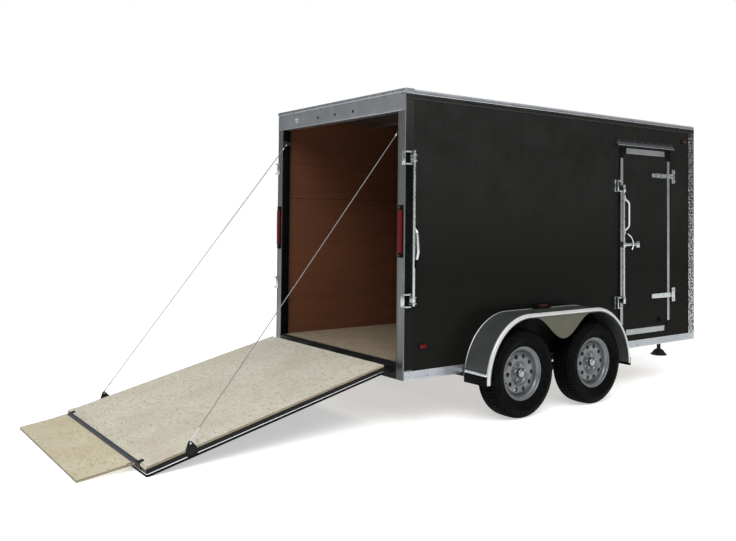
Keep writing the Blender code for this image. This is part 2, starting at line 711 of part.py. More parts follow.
def coupler(body, tip, top, outer):
    back = tip - COUPLER_PLATE_LENGTH
    nose = tip + COUPLER_LENGTH
    radius = COUPLER_HALF_WIDTH

    def hood(width, start, end):
        points = [(start, -width), (end - width, -width)]
        for step in range(1, COUPLER_NOSE_STEPS):
            angle = -math.pi / 2 + math.pi * step / COUPLER_NOSE_STEPS
            points.append((end - width + width * math.cos(angle), width * math.sin(angle)))
        return points + [(end - width, width), (start, width)]

    deck = as_mesh(plate("coupler", [[(back, -outer(back)), (tip, -radius), (tip + radius, -radius),
                                      (tip + radius, radius), (tip, radius), (back, outer(back))]],
                         COUPLER_SHEET, "black_steel", body, place=(0, 0, top + COUPLER_SHEET / 2)))
    hood_start = tip + SEAT
    hood_top = top + COUPLER_SHEET
    shell = as_mesh(plate("coupler_hood", [hood(radius, hood_start, nose)], COUPLER_HEIGHT, "black_steel",
                          body, place=(0, 0, hood_top - COUPLER_HEIGHT / 2)))
    hollow = as_mesh(plate("coupler_hollow",
                           [hood(radius - COUPLER_SHEET, hood_start + COUPLER_SHEET, nose - COUPLER_SHEET)],
                           COUPLER_HEIGHT, "black_steel", body,
                           place=(0, 0, hood_top - COUPLER_HEIGHT / 2 - COUPLER_SHEET)))
    latch = box("coupler_latch", (nose - radius - LATCH_LENGTH, -LATCH_WIDTH / 2, hood_top - SINK),
                (nose - radius, LATCH_WIDTH / 2, hood_top + LATCH_HEIGHT), "black_steel", body)
    combine(deck, [shell, latch])
    combine(deck, [hollow], "DIFFERENCE")


def jack(body, top):
    x = BODY_LENGTH + JACK_X
    head_top = JACK_TUBE_TOP + JACK_HEAD_HEIGHT
    edge_in, edge_up = JACK_HEAD_TOP_SHARES
    profile = [(0, head_top), (JACK_HEAD_RADIUS * edge_in, head_top),
               (JACK_HEAD_RADIUS, JACK_TUBE_TOP + JACK_HEAD_HEIGHT * edge_up),
               (JACK_HEAD_RADIUS, JACK_TUBE_TOP), (JACK_TUBE_RADIUS, JACK_TUBE_TOP),
               (JACK_TUBE_RADIUS, JACK_TUBE_BOTTOM), (0, JACK_TUBE_BOTTOM)]
    jack_tube = as_mesh(turned("jack_tube", profile, JACK_STEPS, "zinc_steel", body, (x, 0, 0), (0, 0, 0)))
    flange = box("jack_flange", (x - JACK_FLANGE_HALF, -JACK_FLANGE_HALF, top),
                 (x + JACK_FLANGE_HALF * JACK_FLANGE_FRONT_SHARE, JACK_FLANGE_HALF,
                                  top + JACK_FLANGE), "zinc_steel", body)
    crank_z = JACK_TUBE_TOP + JACK_HEAD_HEIGHT / 2
    crank = as_mesh(tube("jack_crank", [(x, 0, crank_z), (x, JACK_CRANK_OUT, crank_z),
                                        (x, JACK_CRANK_OUT, crank_z - JACK_CRANK_DROP),
                                        (x, JACK_CRANK_OUT + JACK_GRIP_OUT, crank_z - JACK_CRANK_DROP)],
                         JACK_CRANK_RADIUS, "zinc_steel", body))
    combine(jack_tube, [flange, crank])
    neck_out, neck_up = JACK_FOOT_NECK_SHARES
    flare_out, flare_up = JACK_FOOT_FLARE_SHARES
    leg = [(0, JACK_TUBE_BOTTOM - SEAT), (JACK_LEG_RADIUS, JACK_TUBE_BOTTOM - SEAT),
           (JACK_LEG_RADIUS, JACK_FOOT_HEIGHT), (JACK_FOOT_RADIUS * neck_out, JACK_FOOT_HEIGHT * neck_up),
           (JACK_FOOT_RADIUS * flare_out, JACK_FOOT_RIM * flare_up), (JACK_FOOT_RADIUS, JACK_FOOT_RIM),
           (JACK_FOOT_RADIUS, 0), (0, 0)]
    turned("jack_leg", leg, JACK_STEPS, "black_steel", body, (x, 0, 0), (0, 0, 0))


def axle(name, x, body):
    beam_z = TYRE_RADIUS - AXLE_DROP
    hub_y = WHEEL_Y - HUB_DRUM_DEPTH
    reach = hub_y - WHEEL_CLEARANCE
    beam = cylinder(name, AXLE_RADIUS, 2 * (reach - AXLE_ARM / 2), "black_steel", body, (x, 0, beam_z),
                    turn=(math.pi / 2, 0, 0))
    arms = []
    for side, sign in SIDES.items():
        low_y, high_y = sorted((sign * (reach - AXLE_ARM), sign * reach))
        arms.append(box(f"{name}_arm_{side}", (x - AXLE_ARM / 2, low_y, beam_z - AXLE_RADIUS),
                        (x + AXLE_ARM / 2, high_y, TYRE_RADIUS + AXLE_ARM / 2), "black_steel", body))
        length = WHEEL_CLEARANCE + SINK - SEAT
        arms.append(cylinder(f"{name}_spindle_{side}", SPINDLE_RADIUS, length, "black_steel", body,
                             (x, sign * (hub_y - SEAT - length / 2), TYRE_RADIUS), turn=(math.pi / 2, 0, 0),
                             steps=BAR_STEPS))
    combine(beam, arms)


def leaf_spring(centre, bottom):
    """Side view of a stack of leaves, each shorter than the one above it, all on one arch."""
    def arch(share):
        return bottom + SPRING_LEAF * SPRING_LEAVES + SPRING_ARCH * share * share

    shares = [-1 + 2 * step / SPRING_ARC_STEPS for step in range(SPRING_ARC_STEPS + 1)]
    upper = [(centre + SPRING_HALF_LENGTH * share, arch(share)) for share in shares]
    ends = [1 - leaf / (SPRING_LEAVES + 1) for leaf in range(SPRING_LEAVES)]
    lower = [(ends[0], 1)]
    for leaf in range(1, SPRING_LEAVES):
        lower += [(ends[leaf], leaf), (ends[leaf], leaf + 1)]
    lower.append((ends[-1] / 2, SPRING_LEAVES))
    stack = lower + [(0, SPRING_LEAVES)] + [(-share, leaves) for share, leaves in lower[::-1]]
    under = [(centre + SPRING_HALF_LENGTH * share, arch(share) - SPRING_LEAF * leaves)
             for share, leaves in stack]
    return upper + under


def suspension(side, sign, body):
    """Two leaf springs in line, their three hangers and the equalizer between them."""
    low_z = TYRE_RADIUS - AXLE_DROP + AXLE_RADIUS + SEAT
    pieces = []
    for index, centre in enumerate((WHEEL_X_REAR, WHEEL_X_FRONT)):
        pieces.append(as_mesh(plate(f"spring_{side}_{index}",
                                    [leaf_spring(centre, low_z + SPRING_SEAT_PLATE / 2)], SPRING_WIDTH,
                                    "black_steel", body, place=(0, sign * SPRING_Y, 0), turn=FACING_SIDE)))
        half = SPRING_WIDTH / 2 + SINK
        pieces.append(box(f"seat_{side}_{index}",
                          (centre - SPRING_SEAT_LENGTH / 2, sign * SPRING_Y - half, low_z),
                          (centre + SPRING_SEAT_LENGTH / 2, sign * SPRING_Y + half,
                           low_z + SPRING_SEAT_PLATE), "black_steel", body))
    eye_z = low_z + SPRING_SEAT_PLATE / 2 + SPRING_LEAF * SPRING_LEAVES + SPRING_ARCH - SPRING_EYE_RADIUS / 2
    hanger_top = BODY_BOTTOM - SEAT
    ends = (WHEEL_X_REAR - SPRING_HALF_LENGTH, WHEEL_X_FRONT + SPRING_HALF_LENGTH)
    for index, x in enumerate(ends):
        outline = [(x - HANGER_FOOT / 2, hanger_top), (x - SPRING_EYE_RADIUS, eye_z - SPRING_EYE_RADIUS),
                   (x + SPRING_EYE_RADIUS, eye_z - SPRING_EYE_RADIUS), (x + HANGER_FOOT / 2, hanger_top)]
        pieces.append(as_mesh(plate(f"hanger_{side}_{index}", [outline], HANGER_WIDTH, "black_steel", body,
                                    place=(0, sign * SPRING_Y, 0), turn=FACING_SIDE)))
    inner_half = (AXLE_SPACING - 2 * SPRING_HALF_LENGTH) / 2
    reach = inner_half + SPRING_EYE_RADIUS
    outline = [(GEAR_X - reach, eye_z - SPRING_EYE_RADIUS), (GEAR_X + reach, eye_z - SPRING_EYE_RADIUS),
               (GEAR_X + reach, eye_z + SPRING_EYE_RADIUS), (GEAR_X, eye_z + EQUALIZER_HEIGHT / 2),
               (GEAR_X - reach, eye_z + SPRING_EYE_RADIUS)]
    pieces.append(as_mesh(plate(f"equalizer_{side}", [outline], SPRING_WIDTH + SPRING_LEAF, "black_steel",
                                body, place=(0, sign * SPRING_Y, 0), turn=FACING_SIDE)))
    outline = [(GEAR_X - HANGER_FOOT / 2, hanger_top), (GEAR_X - SPRING_EYE_RADIUS, eye_z),
               (GEAR_X + SPRING_EYE_RADIUS, eye_z), (GEAR_X + HANGER_FOOT / 2, hanger_top)]
    pieces.append(as_mesh(plate(f"hanger_{side}_middle", [outline], HANGER_WIDTH, "black_steel", body,
                                place=(0, sign * SPRING_Y, 0), turn=FACING_SIDE)))
    main = pieces[0]
    main.name = "suspension_" + side
    combine(main, pieces[1:])


def fender_path(inset, foot=FENDER_BOTTOM):
    """The teardrop line from the rear foot over both wheels to the front foot."""
    reach = FENDER_HALF_LENGTH - inset
    top = FENDER_TOP - inset
    flat = FENDER_FLAT_HALF
    rear, front = [], []
    for step in range(FENDER_ARC_STEPS + 1):
        angle = math.pi / 2 * step / FENDER_ARC_STEPS
        across = flat + (reach - flat) * math.cos(angle)
        up = foot + (top - foot) * math.sin(angle)
        rear.append((GEAR_X - across, up))
        front.append((GEAR_X + across, up))
    return rear + front[::-1]


def fender(side, sign, body):
    foot = FENDER_BOTTOM + SINK
    sheet = fender_path(0, foot) + fender_path(FENDER_SHEET, foot)[::-1]
    inner_y = HALF_WIDTH + SEAT
    outer_y = inner_y + FENDER_WIDTH
    shell = as_mesh(plate("fender_" + side, [sheet], FENDER_WIDTH, "mill_aluminium", body,
                          place=(0, sign * (inner_y + outer_y) / 2, 0), turn=FACING_SIDE))
    lower = fender_path(FENDER_LIP)
    half = len(lower) // 2
    skirt = []
    for step in range(1, SKIRT_STEPS + 1):
        share = step / SKIRT_STEPS
        drop = SKIRT_DEPTH * (0.5 - 0.5 * math.cos(math.pi * share))
        skirt.append((SKIRT_HALF_TOP + (SKIRT_TIP_HALF - SKIRT_HALF_TOP) * share,
                      FENDER_TOP - FENDER_LIP - drop))
    dip = [(GEAR_X - across, up) for across, up in skirt]
    dip += [(GEAR_X + across, up) for across, up in skirt[::-1]]
    face = fender_path(-FENDER_LIP_PROUD) + (lower[:half] + dip + lower[half:])[::-1]
    lip = as_mesh(plate("fender_lip_" + side, [face], FENDER_LIP_THICKNESS, "mill_aluminium", body,
                        place=(0, sign * (outer_y - FENDER_LIP_THICKNESS / 2 + SINK), 0), turn=FACING_SIDE))
    combine(shell, [lip])
    trim_bottom = BODY_BOTTOM - TRIM_BELOW_FRAME
    low_y, high_y = sorted((sign * (HALF_WIDTH - OVERRUN),
                            sign * (inner_y + TRIM_THICKNESS + TRIM_RIB + SEAT)))
    cope = box("fender_cope_" + side, (0, low_y, trim_bottom - SEAT),
               (BODY_LENGTH, high_y, trim_bottom + TRIM_HEIGHT + SEAT), "mill_aluminium", body)
    combine(shell, [cope], "DIFFERENCE")


def wheel(end, side, sign, x, trailer):
    name = f"{end}_{side}"
    spin = pivot("wheel_" + name, (x, sign * WHEEL_Y, TYRE_RADIUS), parent=trailer)
    outward = (-sign * math.pi / 2, 0, 0)        # own +Z faces away from the trailer
    half, tread = TYRE_WIDTH / 2, TYRE_TREAD_WIDTH / 2
    flange = RIM_HALF_WIDTH - RIM_SHEET
    bead = flange - TYRE_BEAD_PLAY
    bulge = (TYRE_RADIUS + TYRE_BEAD_RADIUS) / 2
    upper = [(TYRE_BEAD_RADIUS, bead), (RIM_RADIUS + RIM_SHEET, bead + TYRE_BEAD_PLAY / 2),
             (bulge, half), (TYRE_RADIUS - TYRE_SHOULDER, tread + TYRE_SHOULDER / 2),
             (TYRE_RADIUS, tread - TYRE_SHOULDER / 2)]
    profile = upper + [(radius, -height) for radius, height in reversed(upper)]
    turned("tyre_" + name, profile, WHEEL_STEPS, "tyre_rubber", spin, (0, 0, 0), outward, closed=True)
    face = RIM_HALF_WIDTH - RIM_DISC_DEPTH
    hub_face = face - HUB_RECESS
    seat = TYRE_BEAD_RADIUS - SEAT
    front = [(0, hub_face + HUB_CAP_HEIGHT), (HUB_CAP_RADIUS * CAP_EDGE_SHARE, hub_face + HUB_CAP_HEIGHT),
             (HUB_CAP_RADIUS, hub_face + HUB_CAP_HEIGHT * CAP_EDGE_SHARE), (HUB_CAP_RADIUS, hub_face),
             (HUB_FACE_RADIUS, hub_face), (HUB_FACE_RADIUS + HUB_RECESS * HUB_SLOPE_SHARE, face),
             (RIM_DISC_RADIUS * DISC_CREST_SHARE, face),
             (RIM_DISC_RADIUS, face - RIM_SHEET * DISC_EDGE_SHEETS),
             (RIM_WELL_RADIUS - RIM_SHEET, face - RIM_SHEET),
             (seat - RIM_SHEET, RIM_HALF_WIDTH - RIM_SHEET * DISC_EDGE_SHEETS),
             (RIM_RADIUS - RIM_SHEET, RIM_HALF_WIDTH),
             (RIM_RADIUS, RIM_HALF_WIDTH), (RIM_RADIUS, flange), (seat, flange), (seat, -flange),
             (RIM_RADIUS, -flange), (RIM_RADIUS, -RIM_HALF_WIDTH),
             (RIM_WELL_RADIUS - RIM_SHEET, -RIM_HALF_WIDTH + RIM_SHEET)]
    back = face - RIM_SHEET * DISC_BACK_SHEETS
    inner = [(RIM_WELL_RADIUS - RIM_SHEET, back), (HUB_DRUM_RADIUS, back),
             (HUB_DRUM_RADIUS, -HUB_DRUM_DEPTH), (0, -HUB_DRUM_DEPTH)]
    rim = as_mesh(turned("rim_" + name, front + inner, WHEEL_STEPS, "silver_paint", spin, (0, 0, 0),
                         outward))
    vents, lugs = [], []
    for index in range(RIM_VENTS):
        angle = math.tau * index / RIM_VENTS
        spot = Vector((RIM_VENT_CIRCLE * math.cos(angle), RIM_VENT_CIRCLE * math.sin(angle), face))
        spot.rotate(Matrix.Rotation(outward[0], 3, "X"))
        vents.append(cylinder(f"vent_{name}_{index}", RIM_VENT_RADIUS, RIM_SHEET * DISC_BACK_SHEETS,
                              "silver_paint", spin, spot, turn=outward, steps=VENT_STEPS))
    for index in range(LUGS):
        angle = math.tau * index / LUGS
        spot = Vector((LUG_CIRCLE * math.cos(angle), LUG_CIRCLE * math.sin(angle),
                       hub_face + LUG_HEIGHT / 2 - SINK))
        spot.rotate(Matrix.Rotation(outward[0], 3, "X"))
        lugs.append(cylinder(f"lug_{name}_{index}", LUG_RADIUS, LUG_HEIGHT, "silver_paint", spin, spot,
                             turn=outward, steps=LUG_STEPS, tip=LUG_RADIUS * LUG_TIP_SHARE))
    combine(rim, vents, "DIFFERENCE")
    combine(rim, lugs)


def lamps(body):
    for side, sign in SIDES.items():
        middle = sign * (PORTAL_HALF_WIDTH + HALF_WIDTH) / 2
        rounded(box("tail_light_" + side, (-TAIL_LAMP_DEPTH, middle - TAIL_LAMP_WIDTH / 2, TAIL_LAMP_BOTTOM),
                    (-SEAT, middle + TAIL_LAMP_WIDTH / 2, TAIL_LAMP_TOP), "red_lens", body), TAIL_LAMP_ROUND)
        near = sign * (HALF_WIDTH + SEAT)
        for end, x, z, lens in (("front", MARKER_FRONT_X, MARKER_FRONT_Z, "amber_lens"),
                                ("rear", MARKER_REAR_X, MARKER_REAR_Z, "red_lens")):
            low_y, high_y = sorted((near, near + sign * MARKER_DEPTH))
            rounded(box(f"marker_{end}_{side}", (x - MARKER_LENGTH / 2, low_y, z - MARKER_HEIGHT / 2),
                        (x + MARKER_LENGTH / 2, high_y, z + MARKER_HEIGHT / 2), lens, body), MARKER_ROUND)
        low_y, high_y = sorted((near, near + sign * FENDER_LAMP_DEPTH))
        low_z = FENDER_TOP + FENDER_LAMP_RISE
        rounded(box("fender_lamp_" + side, (GEAR_X - FENDER_LAMP_LENGTH / 2, low_y, low_z),
                    (GEAR_X + FENDER_LAMP_LENGTH / 2, high_y, low_z + FENDER_LAMP_HEIGHT), "amber_lens",
                    body), MARKER_ROUND)


def rear_lock(side, sign, body):
    """Upright bar in two double-armed brackets, with a bent lever."""
    skin = sign * (HALF_WIDTH + SEAT)
    axis_y = sign * (HALF_WIDTH + REAR_LOCK_OUT)
    bar = cylinder("rear_lock_" + side, LOCK_BAR_RADIUS, REAR_LOCK_TOP - REAR_LOCK_BOTTOM, "zinc_steel",
                   body, (REAR_LOCK_X, axis_y, (REAR_LOCK_TOP + REAR_LOCK_BOTTOM) / 2), steps=BAR_STEPS)
    pieces = []
    for level, z in (("lower", REAR_LOCK_LOWER), ("upper", REAR_LOCK_UPPER)):
        half = REAR_LOCK_ARM_PITCH / 2 + LOCK_ARM
        low_y, high_y = sorted((skin, skin + sign * LOCK_GUIDE_THICKNESS))
        pieces.append(box(f"lock_base_{side}_{level}",
                          (REAR_LOCK_X - LOCK_GUIDE_WIDTH * LOCK_BASE_REAR_SHARE, low_y, z - half),
                          (REAR_LOCK_X + LOCK_GUIDE_WIDTH / 2, high_y, z + half), "zinc_steel", body))
        low_y, high_y = sorted((skin + sign * LOCK_GUIDE_THICKNESS / 2,
                                axis_y + sign * LOCK_BAR_RADIUS * LOCK_ARM_FRONT_SHARE))
        arm_half = LOCK_BAR_RADIUS * LOCK_ARM_SIDE_SHARE
        for arm in (-1, 1):
            centre = z + arm * REAR_LOCK_ARM_PITCH / 2
            pieces.append(box(f"lock_arm_{side}_{level}_{arm + 1}",
                              (REAR_LOCK_X - arm_half, low_y, centre - LOCK_ARM / 2),
                              (REAR_LOCK_X + arm_half, high_y, centre + LOCK_ARM / 2), "zinc_steel", body))
    out = sign * REAR_LEVER_OUT
    lever_x = REAR_LOCK_X + REAR_LEVER_OUT * LEVER_FORWARD_SHARE
    path = [(REAR_LOCK_X, axis_y, REAR_LEVER_Z), (lever_x, axis_y + out, REAR_LEVER_Z - REAR_LEVER_OUT),
            (lever_x, axis_y + out, REAR_LEVER_Z - REAR_LEVER_LENGTH * LEVER_BEND_SHARE),
            (lever_x, axis_y + out * LEVER_TIP_SHARE, REAR_LEVER_Z - REAR_LEVER_LENGTH)]
    pieces.append(as_mesh(tube("lock_lever_" + side, path, REAR_LEVER_RADIUS, "zinc_steel", body,
                               roundness=1)))
    combine(bar, pieces)


def side_door(trailer):
    skin = -(HALF_WIDTH + SEAT)
    pin_x = DOOR_FRONT + HINGE_PIN_FORWARD
    pin_y = skin - HINGE_PIN_OUT
    swing = pivot("side_door_pivot", (pin_x, pin_y, 0), parent=trailer)
    rear, front = DOOR_REAR - pin_x, DOOR_FRONT - pin_x
    outer_y = -HALF_WIDTH - pin_y
    plate("side_door", [round_rectangle(rear, DOOR_BOTTOM, front, DOOR_TOP, DOOR_CORNER)], DOOR_THICKNESS,
          "charcoal_skin", swing, place=(0, outer_y + DOOR_THICKNESS / 2, 0), turn=FACING_SIDE)
    face_y = outer_y - SEAT - DOOR_TRIM_THICKNESS
    plate("side_door_trim",
          [round_rectangle(rear, DOOR_BOTTOM, front, DOOR_TOP, DOOR_CORNER),
           rectangle(rear + DOOR_TRIM_WIDTH, DOOR_BOTTOM + DOOR_TRIM_WIDTH,
                     front - DOOR_TRIM_WIDTH, DOOR_TOP - DOOR_TRIM_WIDTH)],
          DOOR_TRIM_THICKNESS, "mill_aluminium", swing, place=(0, face_y + DOOR_TRIM_THICKNESS / 2, 0),
          turn=FACING_SIDE)
    strap_y = face_y - SEAT
    for level, z in (("upper", HINGE_UPPER_Z), ("lower", HINGE_LOWER_Z)):
        strap = box("door_strap_" + level, (-HINGE_STRAP_LENGTH, strap_y - HINGE_STRAP_THICKNESS,
                                            z - HINGE_STRAP_HEIGHT / 2),
                    (0, strap_y, z + HINGE_STRAP_HEIGHT / 2), "zinc_steel", swing)
        knuckle = cylinder("strap_knuckle_" + level, HINGE_PIN_RADIUS, HINGE_STRAP_HEIGHT, "zinc_steel",
                           swing, (0, 0, z), steps=BAR_STEPS)
        combine(strap, [knuckle])
        hinge_plate(level, z, pin_x, pin_y, skin, trailer)
    door_lock(swing, rear, outer_y, strap_y)
    under, over = DRIP_NOSE_SHARES
    drip = [(skin, 0), (skin - DRIP_OUT, -DRIP_HEIGHT * under), (skin - DRIP_OUT, -DRIP_HEIGHT * over),
            (skin, DRIP_HEIGHT * over)]
    length = DOOR_FRONT - DOOR_REAR + 2 * DRIP_WIDTH_PAST_DOOR
    plate("drip_cap", [drip], length, "mill_aluminium", trailer,
          place=((DOOR_REAR + DOOR_FRONT) / 2, 0, DOOR_TOP + DOOR_CLEARANCE + DRIP_HEIGHT), turn=FACING_REAR)


def hinge_plate(level, z, pin_x, pin_y, skin, trailer):
    """Wall half of a strap hinge: a notched plate with a knuckle above and below the strap's."""
    gap = HINGE_STRAP_HEIGHT / 2 + HINGE_KNUCKLE_GAP
    end = HINGE_PLATE_HEIGHT / 2
    notch = pin_x + HINGE_PIN_RADIUS * HINGE_NOTCH_SHARE
    web_start, web_end = HINGE_WEB_SHARES
    outer = pin_x + HINGE_PLATE_LENGTH
    outline = [(pin_x, z - end), (outer, z - end), (outer, z + end), (pin_x, z + end), (pin_x, z + gap),
               (notch, z + gap), (notch, z - gap), (pin_x, z - gap)]
    base = as_mesh(plate("hinge_plate_" + level, [outline], HINGE_STRAP_THICKNESS, "zinc_steel", trailer,
                         place=(0, skin - HINGE_STRAP_THICKNESS / 2, 0), turn=FACING_SIDE))
    ears = []
    for sign in (-1, 1):
        low_z, high_z = sorted((z + sign * gap, z + sign * (end - SINK / 2)))
        ears.append(cylinder(f"plate_knuckle_{level}_{sign + 1}", HINGE_PIN_RADIUS, high_z - low_z,
                             "zinc_steel", trailer, (pin_x, pin_y, (low_z + high_z) / 2), steps=BAR_STEPS))
        ears.append(box(f"plate_web_{level}_{sign + 1}",
                        (pin_x + HINGE_PIN_RADIUS * web_start, pin_y, low_z + SINK / 2),
                        (pin_x + HINGE_PIN_RADIUS * web_end, skin - HINGE_STRAP_THICKNESS / 2,
                         high_z - SINK / 2), "zinc_steel", trailer))
    combine(base, ears)


def door_lock(swing, rear, outer_y, strap_y):
    """Upright lock bar in two guides, with its lever, and the grab handle beside it."""
    bar_x = rear + DOOR_TRIM_WIDTH / 2
    bar_y = outer_y - LOCK_BAR_OUT
    bar = cylinder("door_lock", LOCK_BAR_RADIUS, DOOR_LOCK_TOP - DOOR_LOCK_BOTTOM, "zinc_steel", swing,
                   (bar_x, bar_y, (DOOR_LOCK_TOP + DOOR_LOCK_BOTTOM) / 2), steps=BAR_STEPS)
    pieces = []
    half = LOCK_GUIDE_HEIGHT / 2
    for level, z in (("lower", DOOR_LOCK_BOTTOM + half), ("upper", DOOR_LOCK_TOP - half),
                     ("middle", DOOR_LEVER_Z)):
        reach = LOCK_BAR_RADIUS * GUIDE_SIDE_SHARE
        pieces.append(box("door_guide_" + level,
                          (bar_x - reach, bar_y - LOCK_BAR_RADIUS * GUIDE_FRONT_SHARE, z - half),
                          (bar_x + reach, strap_y, z + half), "zinc_steel", swing))
    pieces.append(box("door_lever",
                      (bar_x, bar_y - DOOR_LEVER_THICKNESS / 2, DOOR_LEVER_Z - DOOR_LEVER_HEIGHT / 2),
                      (bar_x + DOOR_LEVER_LENGTH, bar_y + DOOR_LEVER_THICKNESS / 2,
                       DOOR_LEVER_Z + DOOR_LEVER_HEIGHT / 2), "zinc_steel", swing))
    combine(bar, pieces)
    x = rear + GRAB_FORWARD
    foot_y = outer_y - SEAT
    feet = [box(f"grab_foot_{index}", (x - GRAB_FOOT_HALF / 2, foot_y - GRAB_FOOT, z - GRAB_FOOT_HALF),
                (x + GRAB_FOOT_HALF / 2, foot_y, z + GRAB_FOOT_HALF), "zinc_steel", swing)
            for index, z in enumerate((GRAB_BOTTOM, GRAB_TOP))]
    bend = GRAB_OUT * GRAB_BEND_SHARE
    root_y, out_y = foot_y - GRAB_FOOT * GRAB_ROOT_SHARE, foot_y - GRAB_OUT
    path = [(x, root_y, GRAB_BOTTOM), (x, foot_y - bend, GRAB_BOTTOM), (x, out_y, GRAB_BOTTOM + bend),
            (x, out_y, GRAB_TOP - bend), (x, foot_y - bend, GRAB_TOP), (x, root_y, GRAB_TOP)]
    grip = as_mesh(tube("door_grab_handle", path, GRAB_RADIUS, "zinc_steel", swing))
    combine(grip, feet)


def ramp(trailer):
    """Hinged rear ramp with its flap and cables; gives back the flap tip's X."""
    angle = lean(RAMP_HINGE_Z, RAMP_START + RAMP_LENGTH, RAMP_OUTER)
    swing = pivot("ramp_pivot", (RAMP_HINGE_X, 0, RAMP_HINGE_Z), turn=(0, -angle, 0), parent=trailer)
    near, far = -RAMP_START, -RAMP_START - RAMP_LENGTH
    top = RAMP_OUTER + RAMP_THICKNESS
    half = RAMP_HALF_WIDTH
    leaf_end = near - RAMP_EDGE / 2
    box("ramp_skin", (far, -half, RAMP_OUTER), (leaf_end - SEAT, half, RAMP_OUTER + RAMP_SKIN),
        "charcoal_skin", swing)
    frame_low = RAMP_OUTER + RAMP_SKIN + SEAT
    rib_top = top - RAMP_DECK - SEAT
    bay = (RAMP_LENGTH - 2 * RAMP_EDGE + RAMP_RIB) / (RAMP_RIBS + 1)
    frame = box("ramp_frame", (far, -half, frame_low), (near, half, rib_top), "black_steel", swing)
    bays = []
    for index in range(RAMP_RIBS + 1):
        start = far + RAMP_EDGE + bay * index
        bays.append(box(f"ramp_bay_{index}", (start, -half + RAMP_EDGE, frame_low - OVERRUN),
                        (start + bay - RAMP_RIB, half - RAMP_EDGE, rib_top + OVERRUN), "black_steel", swing))
    combine(frame, bays, "DIFFERENCE")
    pieces = []
    for side, sign in SIDES.items():
        y = sign * (half + CABLE_BRACKET_THICKNESS / 2 - SINK / 2)
        x = -CABLE_BRACKET_AT - RAMP_START
        foot = CABLE_BRACKET_LENGTH / 2
        outline = [(x - foot, rib_top - CABLE_BRACKET_FOOT), (x + foot, rib_top - CABLE_BRACKET_FOOT),
                   (x + foot, top), (x + CABLE_EYE, top + CABLE_BRACKET_HEIGHT),
                   (x - CABLE_EYE, top + CABLE_BRACKET_HEIGHT), (x - foot, top)]
        pieces.append(as_mesh(plate("cable_bracket_" + side, [outline], CABLE_BRACKET_THICKNESS + SINK,
                                    "black_steel", swing, place=(0, y, 0), turn=FACING_SIDE)))
    leaf_half = FLAP_HALF_WIDTH + SEAT + FLAP_KNUCKLE
    leaf_low = top + SEAT
    leaf_top = leaf_low + FLAP_LEAF
    pieces.append(box("flap_rear_leaf", (far - SEAT - FLAP_LEAF, -leaf_half, leaf_low),
                      (far + FLAP_LEAF_REACH, leaf_half, leaf_top), "zinc_steel", swing))
    pieces.append(box("flap_rear_angle", (far - SEAT - FLAP_LEAF, -leaf_half, rib_top - FLAP_ANGLE_DROP),
                      (far - SEAT, leaf_half, leaf_low + SINK), "zinc_steel", swing))
    pieces.append(box("flap_angle_foot",
                      (far - FLAP_LEAF, -leaf_half + SINK, rib_top - FLAP_ANGLE_DROP + SINK),
                      (far + SINK, leaf_half - SINK, rib_top - SINK), "zinc_steel", swing))
    for side, sign in SIDES.items():
        y = sign * (leaf_half - FLAP_KNUCKLE / 2)
        pieces.append(cylinder("flap_knuckle_" + side, FLAP_BARREL_RADIUS, FLAP_KNUCKLE, "zinc_steel", swing,
                               (far - FLAP_PIN_OUT, y, top + FLAP_PIN_RISE), turn=(math.pi / 2, 0, 0),
                               steps=BAR_STEPS))
        pieces.append(box("flap_web_" + side,
                          (far - FLAP_PIN_OUT, y - FLAP_KNUCKLE / 2 + SEAT, leaf_low + SINK / 2),
                          (far + FLAP_LEAF_REACH / 2, y + FLAP_KNUCKLE / 2 - SEAT, top + FLAP_PIN_RISE),
                          "zinc_steel", swing))
    for index in range(RAMP_HINGES):
        y = hinge_place(index)
        pieces.append(cylinder(f"ramp_barrel_{index}", RAMP_BARREL_RADIUS, RAMP_BARREL_LENGTH, "black_steel",
                               swing, (0, y, 0), turn=(math.pi / 2, 0, 0), steps=BAR_STEPS))
        pieces.append(box(f"ramp_leaf_{index}",
                          (leaf_end, y - RAMP_BARREL_LENGTH / 2 + SINK, RAMP_OUTER - RAMP_LEAF),
                          (0, y + RAMP_BARREL_LENGTH / 2 - SINK, frame_low + SINK), "black_steel", swing))
    combine(frame, pieces)
    deck_half = half - SINK - SEAT
    box("ramp_deck", (far, -deck_half, rib_top + SEAT), (near, deck_half, top), "strand_board", swing)
    fold = flap(swing, far, top, angle)
    cables(trailer, swing, top)
    tip = [fold.matrix_world @ Vector((-FLAP_LENGTH, 0, depth))
           for depth in (-FLAP_BELOW_PIN, -FLAP_BELOW_PIN - FLAP_THICKNESS)]
    return min(corner.x for corner in tip)


def flap(swing, far, top, ramp_angle):
    """Short board hinged to the ramp's end, its tip on the ground."""
    pin = Vector((far - FLAP_PIN_OUT, 0, top + FLAP_PIN_RISE))
    height = (Matrix.Rotation(-ramp_angle, 3, "Y") @ pin).z + RAMP_HINGE_Z
    under = FLAP_BELOW_PIN + FLAP_THICKNESS
    angle = lean(height, FLAP_LENGTH, -under)
    fold = pivot("flap_pivot", pin, turn=(0, ramp_angle - angle, 0), parent=swing)
    box("flap_panel", (-FLAP_LENGTH, -FLAP_HALF_WIDTH, -under),
        (-FLAP_START, FLAP_HALF_WIDTH, -FLAP_BELOW_PIN), "strand_board", fold)
    strip = box("flap_hinge", (-FLAP_LEAF_REACH, -FLAP_HALF_WIDTH, -FLAP_BELOW_PIN + SEAT),
                (0, FLAP_HALF_WIDTH, -FLAP_BELOW_PIN + SEAT + FLAP_LEAF), "zinc_steel", fold)
    barrel = cylinder("flap_barrel", FLAP_BARREL_RADIUS, 2 * FLAP_HALF_WIDTH - SINK, "zinc_steel", fold,
                      (0, 0, 0), turn=(math.pi / 2, 0, 0), steps=BAR_STEPS)
    combine(strip, [barrel])
    return fold


